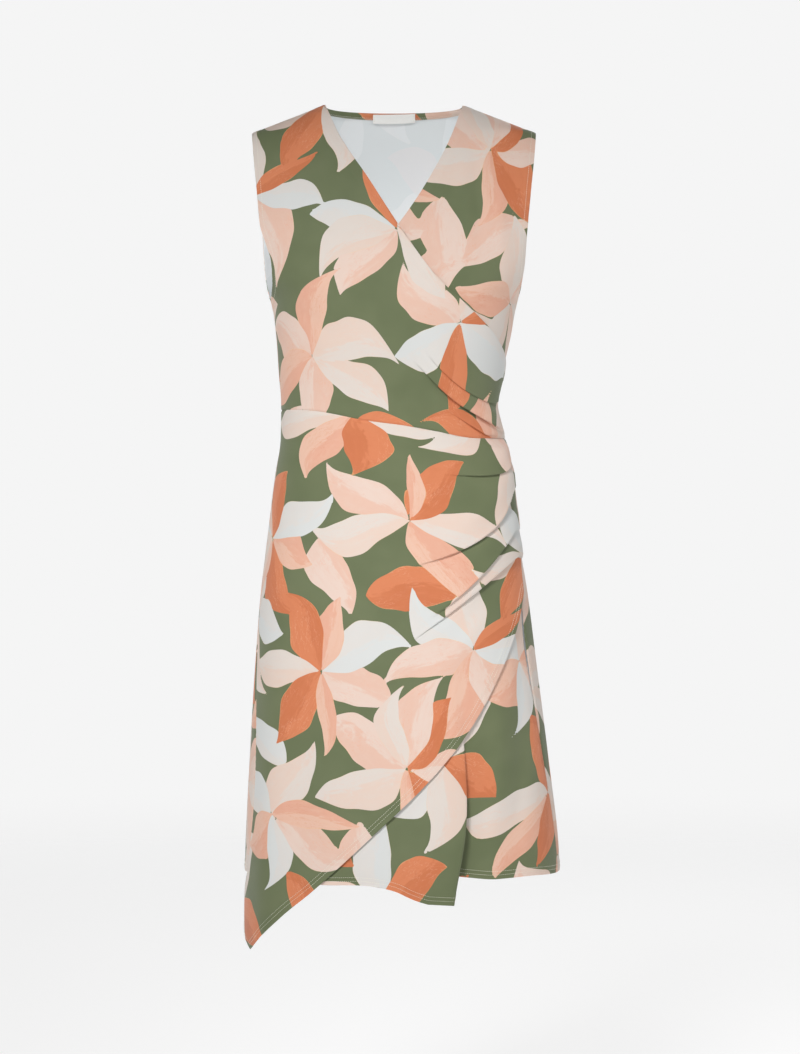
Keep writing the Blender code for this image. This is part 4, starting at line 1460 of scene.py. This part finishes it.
def downFromNeck(middle, normal, depths):
    # places inside the back neck, at depths along the cloth, for the columns that reach the neckline
    low, high = (round(middle.shape[1] * share) for share in neckShares)
    columns = []
    for j in range(low, high):
        way = waysAlong(middle[:, j])
        columns.append([atShares(depths, way, values[:, j]) for values in (middle, normal)])
    return np.array(columns).transpose(1, 2, 0, 3)


neckFinish = {
    "thickness": 0.0007,
    "flat": (0.20, 0.010),
    "printRun": (0.510, 0.338),  # of the print, from the wearer's left to the right
    "printFrom": 0.569,
    "printStep": 0.001,  # for each row of the band
    "stitchRows": (6, 8),
    # how the edge rolls over the top and lies inside: down, in and up
    "down": (0.0, 0.0, 0.0003, 0.0008, 0.0018, 0.0035, 0.0052, 0.0062, 0.0070, 0.0080),
    "inset": (0.0, 0.0006, 0.0010, 0.0012, 0.0013, 0.0013, 0.0013, 0.0012, 0.0013, 0.0013),
    "raised": (0.0006, 0.0008, 0.0003, 0, 0, 0, 0, 0, 0, 0),
}


def makeNeckBand(middle, normal):
    strip, up = downFromNeck(middle, normal, neckFinish["down"])
    strip = strip - up * np.array(neckFinish["inset"])[:, None, None]
    strip[..., 2] += np.array(neckFinish["raised"])[:, None]
    normals = gridNormals(strip)
    u = np.broadcast_to(np.linspace(*neckFinish["printRun"], strip.shape[1]), strip.shape[:2])
    fall = neckFinish["printFrom"] - neckFinish["printStep"] * np.arange(len(strip))[:, None]
    v = np.broadcast_to(fall, strip.shape[:2])
    # its printed side faces the wearer, so the grid is turned round
    strip, normals = strip[:, ::-1], -normals[:, ::-1]
    fields = {name: values[:, ::-1] for name, values in printFields(u, v).items()}
    piece = clothShell(
        "backNeckBand", "back_neck_band", "printed_jersey", strip, normals,
        neckFinish["thickness"], fields, "print", "reverse",
    )
    lines = [(strip[at, 2:-2], normals[at, 2:-2]) for at in neckFinish["stitchRows"]]
    stitches = stitchMesh("neckBandStitches", lines, neckFinish["thickness"])


labelCut = {
    "width": 0.055,
    "height": 0.0125,
    "thickness": 0.0005,
    "inset": 0.0030,
    "tilt": 0.0005,
    "rise": 0.0006,
    "bulge": 0.0007,
    "ripple": 0.0003,
    "rippleTurns": (3.1, 0.6),
    "rows": 14,
    "columns": 60,
}


def makeLabel(middle, normal):
    # a blank woven label, caught by stitches near its ends
    rows, columns = labelCut["rows"], labelCut["columns"]
    fall = even(rows)[:, None]
    share = even(columns)[None, :] * 2 - 1
    strip, up = downFromNeck(middle, normal, np.linspace(0.0, labelCut["height"], rows + 1))
    across = share[0] * labelCut["width"] / 2
    place, out = (
        np.array([atShares(across, -strip[i, :, 0], values[i]) for i in range(rows + 1)])
        for values in (strip, up)
    )
    stand = labelCut["inset"] + labelCut["bulge"] * fall * (1 - share**4)
    turns, shift = labelCut["rippleTurns"]
    stand = stand + labelCut["ripple"] * np.sin(turns * share + shift) * fall
    place = place - out * stand[..., None]
    place[..., 2] += labelCut["rise"] - labelCut["tilt"] * share
    place = place[:, ::-1]
    normals = gridNormals(place)
    piece = clothShell(
        "neckLabel", "neck_label", "woven_label", place, normals, labelCut["thickness"], {}, "label", "label"
    )
    lines = [(place[1:-1, j], normals[1:-1, j]) for j in (2, columns - 2)]
    stitches = stitchMesh("labelStitches", lines, labelCut["thickness"])


overFront = {
    "name": "overSkirt",
    "node": "over_skirt",
    "rowFine": 16,
    "columnFine": 6,
    "flat": (0.40, 0.70),
    "area": 0.225,
    "restsOn": ["underSkirt"],
    "cutFrom": (0.52, 0.21, 0),
    "seams": [("top",), ("first", 0, crossingShare), ("last",)],
    "turned": [("bottom",), ("first", crossingShare, 1)],
    "stitches": [
        *(("bottom", 0, 1, distance) for distance in needle["fromSlant"]),
        ("first", crossingShare, 1, needle["fromPoint"], 4),
    ],
    "stitchName": "slantEdgeStitches",
}


def makeOverSkirt(foldLines):
    def build(rowFine, columnFine):
        tip = (angleOf(*pointTip), pointTip[1])
        free = frontRun(atSeam(-1, "front", cut["hemLevel"]), freeEdge, tip)
        free = border(free, even((grid["rows"] - grid["crossing"]) * rowFine))
        side = skirtSide(-1, "front", grid["crossing"] * rowFine)
        rightSide = np.concatenate([side[:-1], free])
        leftSeam = seamRun(1, "front", cut["waistLeft"], cut["slantStart"])
        leftSide = border(leftSeam, even(grid["rows"] * rowFine))
        slant = frontRun(tip, slantEdge[::-1], atSeam(1, "front", cut["slantStart"]))
        bottom = border(slant, even(grid["columns"] * columnFine))
        return betweenBorders(crowdedWaist(columnFine), bottom, rightSide, leftSide, "top")

    places = crowdTowards(skirtTucks, finePatch(build, overFront))
    angle, level = places[..., 0], places[..., 1]
    x = onForm(angle, level)[..., 0]
    start, end = (np.interp(-level, -foldLines[0], line) for line in foldLines[1:])
    push = np.maximum(foldPush(angle, level, start, end), 0)
    offset = crossLift(x) + fluteHeight(frontFlutes, angle, level) + push
    smooth = clothAt(places, offset + creaseHeight(overSkirtCreases, x, level))
    middle, taken = foldTucks(skirtTucks, places, smooth, smooth[0])
    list(sewPanel(overFront, middle, places, taken)[0])


underFront = {
    "name": "underSkirt",
    "node": "under_skirt",
    "rowFine": 14,
    "before": 62,  # columns before the fold, in it and after it
    "inFold": 44,
    "after": 30,
    "flat": (0.46, 0.60),
    "area": 0.250,
    "cutFrom": (0.19, 0.02, 0),
    "seams": [("top",), ("first",), ("last",)],
    "turned": [("bottom",)],
    "hemStitches": needle["fromHem"],
    "stitchName": "underHemStitches",
}


def underHem(turn):
    front, behind = foldHemLevels
    fold = angleOf(deepFold["hemX"], front)
    toFold = frontRun(atSeam(-1, "front", cut["hemLevel"]), hemBeforeFold, (fold - foldReach(), front))
    fromFold = frontRun((fold + foldReach(), behind), hemAfterFold, atSeam(1, "front", cut["hemLevel"]))
    rise = (behind - front) * ease(turn, -0.5, 0.5)
    sag = deepFold["sag"] * np.sin(np.pi / 2 * np.clip((turn + 1) / 0.6, 0, 1)) * ease(turn, 0.5, -0.4)
    inFold = np.column_stack([fold + turn * foldReach(), front - sag + rise])
    before, after = border(toFold, even(underFront["before"])), border(fromFold, even(underFront["after"]))
    return np.concatenate([before[:-1], inFold, after[1:]])


def underWaist(turn):
    waist = frontWaistRun()
    inFold = angleOf(deepFold["topX"], cut["waistLeft"]) + turn * foldReach()
    before = np.linspace(waist[0, 0], inFold[0], underFront["before"] + 1)
    after = np.linspace(inFold[-1], waist[-1, 0], underFront["after"] + 1)
    angles = np.concatenate([before[:-1], inFold, after[1:]])
    return np.column_stack([angles, np.interp(angles, waist[:, 0], waist[:, 1])])


def makeUnderSkirt():
    before, within, after = underFront["before"], underFront["inFold"], underFront["after"]
    turn = even(within) * 2 - 1
    hem = underHem(turn)
    rows = grid["crossing"] * underFront["rowFine"]
    levelHem = np.column_stack([hem[:, 0], np.full(len(hem), cut["hemLevel"])])
    sides = [skirtSide(side, "front", rows) for side in (-1, 1)]
    places = betweenBorders(underWaist(turn), levelHem, *sides, "top")
    places[..., 1] += even(rows)[:, None] ** deepFold["dipGrowth"] * (hem[:, 1] - cut["hemLevel"])
    angle, level = places[..., 0], places[..., 1]
    x = onForm(angle, level)[..., 0]
    # the cloth in the fold swings back behind itself as it sinks from front to back
    sway = np.concatenate([np.zeros(before), -np.sin(np.pi * turn), np.zeros(after)])
    reach = deepFold["overlap"] * foldGrown(level) ** deepFold["overlapGrowth"]
    stand = foldPush(angle, level, angle[:, [before]], angle[:, [before + within]])
    inside = slice(before, before + within + 1)
    stand[:, inside] = deepFold["depth"] * foldGrown(level[:, inside]) * -np.sin(np.pi * turn / 2)
    swerve = deepFold["swerve"] * ease(level, *deepFold["swerveRises"])
    swerve = swerve * ease(level, *deepFold["swerveFalls"])
    column = np.arange(len(hem))
    beside = np.minimum(column / before, (len(hem) - 1 - column) / after)
    perMetre = degreesFor(1.0, angle, level)
    bent = perMetre * swerve * ease(beside, 0, 1)
    foldLines = [level[:, before], *((angle + bent)[:, [before, before + within]].T)]
    crease = creaseHeight(underSkirtCreases, x, level)
    crease[:, before:] *= ease(np.arange(len(hem) - before), within, within + deepFold["calmColumns"])
    offset = underLift(x) + fluteHeight(frontFlutes, angle, level) + stand + crease
    middle = clothAt(np.stack([angle + perMetre * reach * sway + bent, level], axis=-1), offset)
    way = waysAlong(middle, 1) + wayRound(angle[:, :1], level[:, :1])
    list(sewPanel(underFront, middle, places, 0.0, way)[0])
    return foldLines


backBottom = {
    "name": "backSkirt",
    "node": "back_skirt",
    "rows": 190,
    "columns": 176,
    "flat": (0.62, 0.60),
    "area": 0.320,
    "cutFrom": (0.33, 0.05, 0),
    "seams": [("top",), ("first",), ("last",)],
    "turned": [("bottom",)],
    "hemStitches": needle["fromHem"],
    "stitchName": "backHemStitches",
    "degree": 0.0026,
}


def makeBackSkirt():
    sides = [skirtSide(side, "back", backBottom["rows"]) for side in (1, -1)]
    bottom = border(np.stack([sides[0][-1], sides[1][-1]]), even(backBottom["columns"]))
    places = betweenBorders(backWaist(backBottom["columns"]), bottom, *sides, "top")
    angle, level = places[..., 0], places[..., 1]
    creases = creaseHeight(backSkirtCreases, angle, level, backBottom["degree"])
    middle = clothAt(places, fluteHeight(backFlutes, angle, level) + creases)
    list(sewPanel(backBottom, middle, places)[0])


makeCamera()
makeLights()
makeFloor()
finishes = makeFinishes()
petals = layOutPetals()
print("studio and finishes ready")
makeLeftFront()
makeRightFront()
makeBackBodice()
makeOverSkirt(makeUnderSkirt())
makeBackSkirt()
print("dress ready")
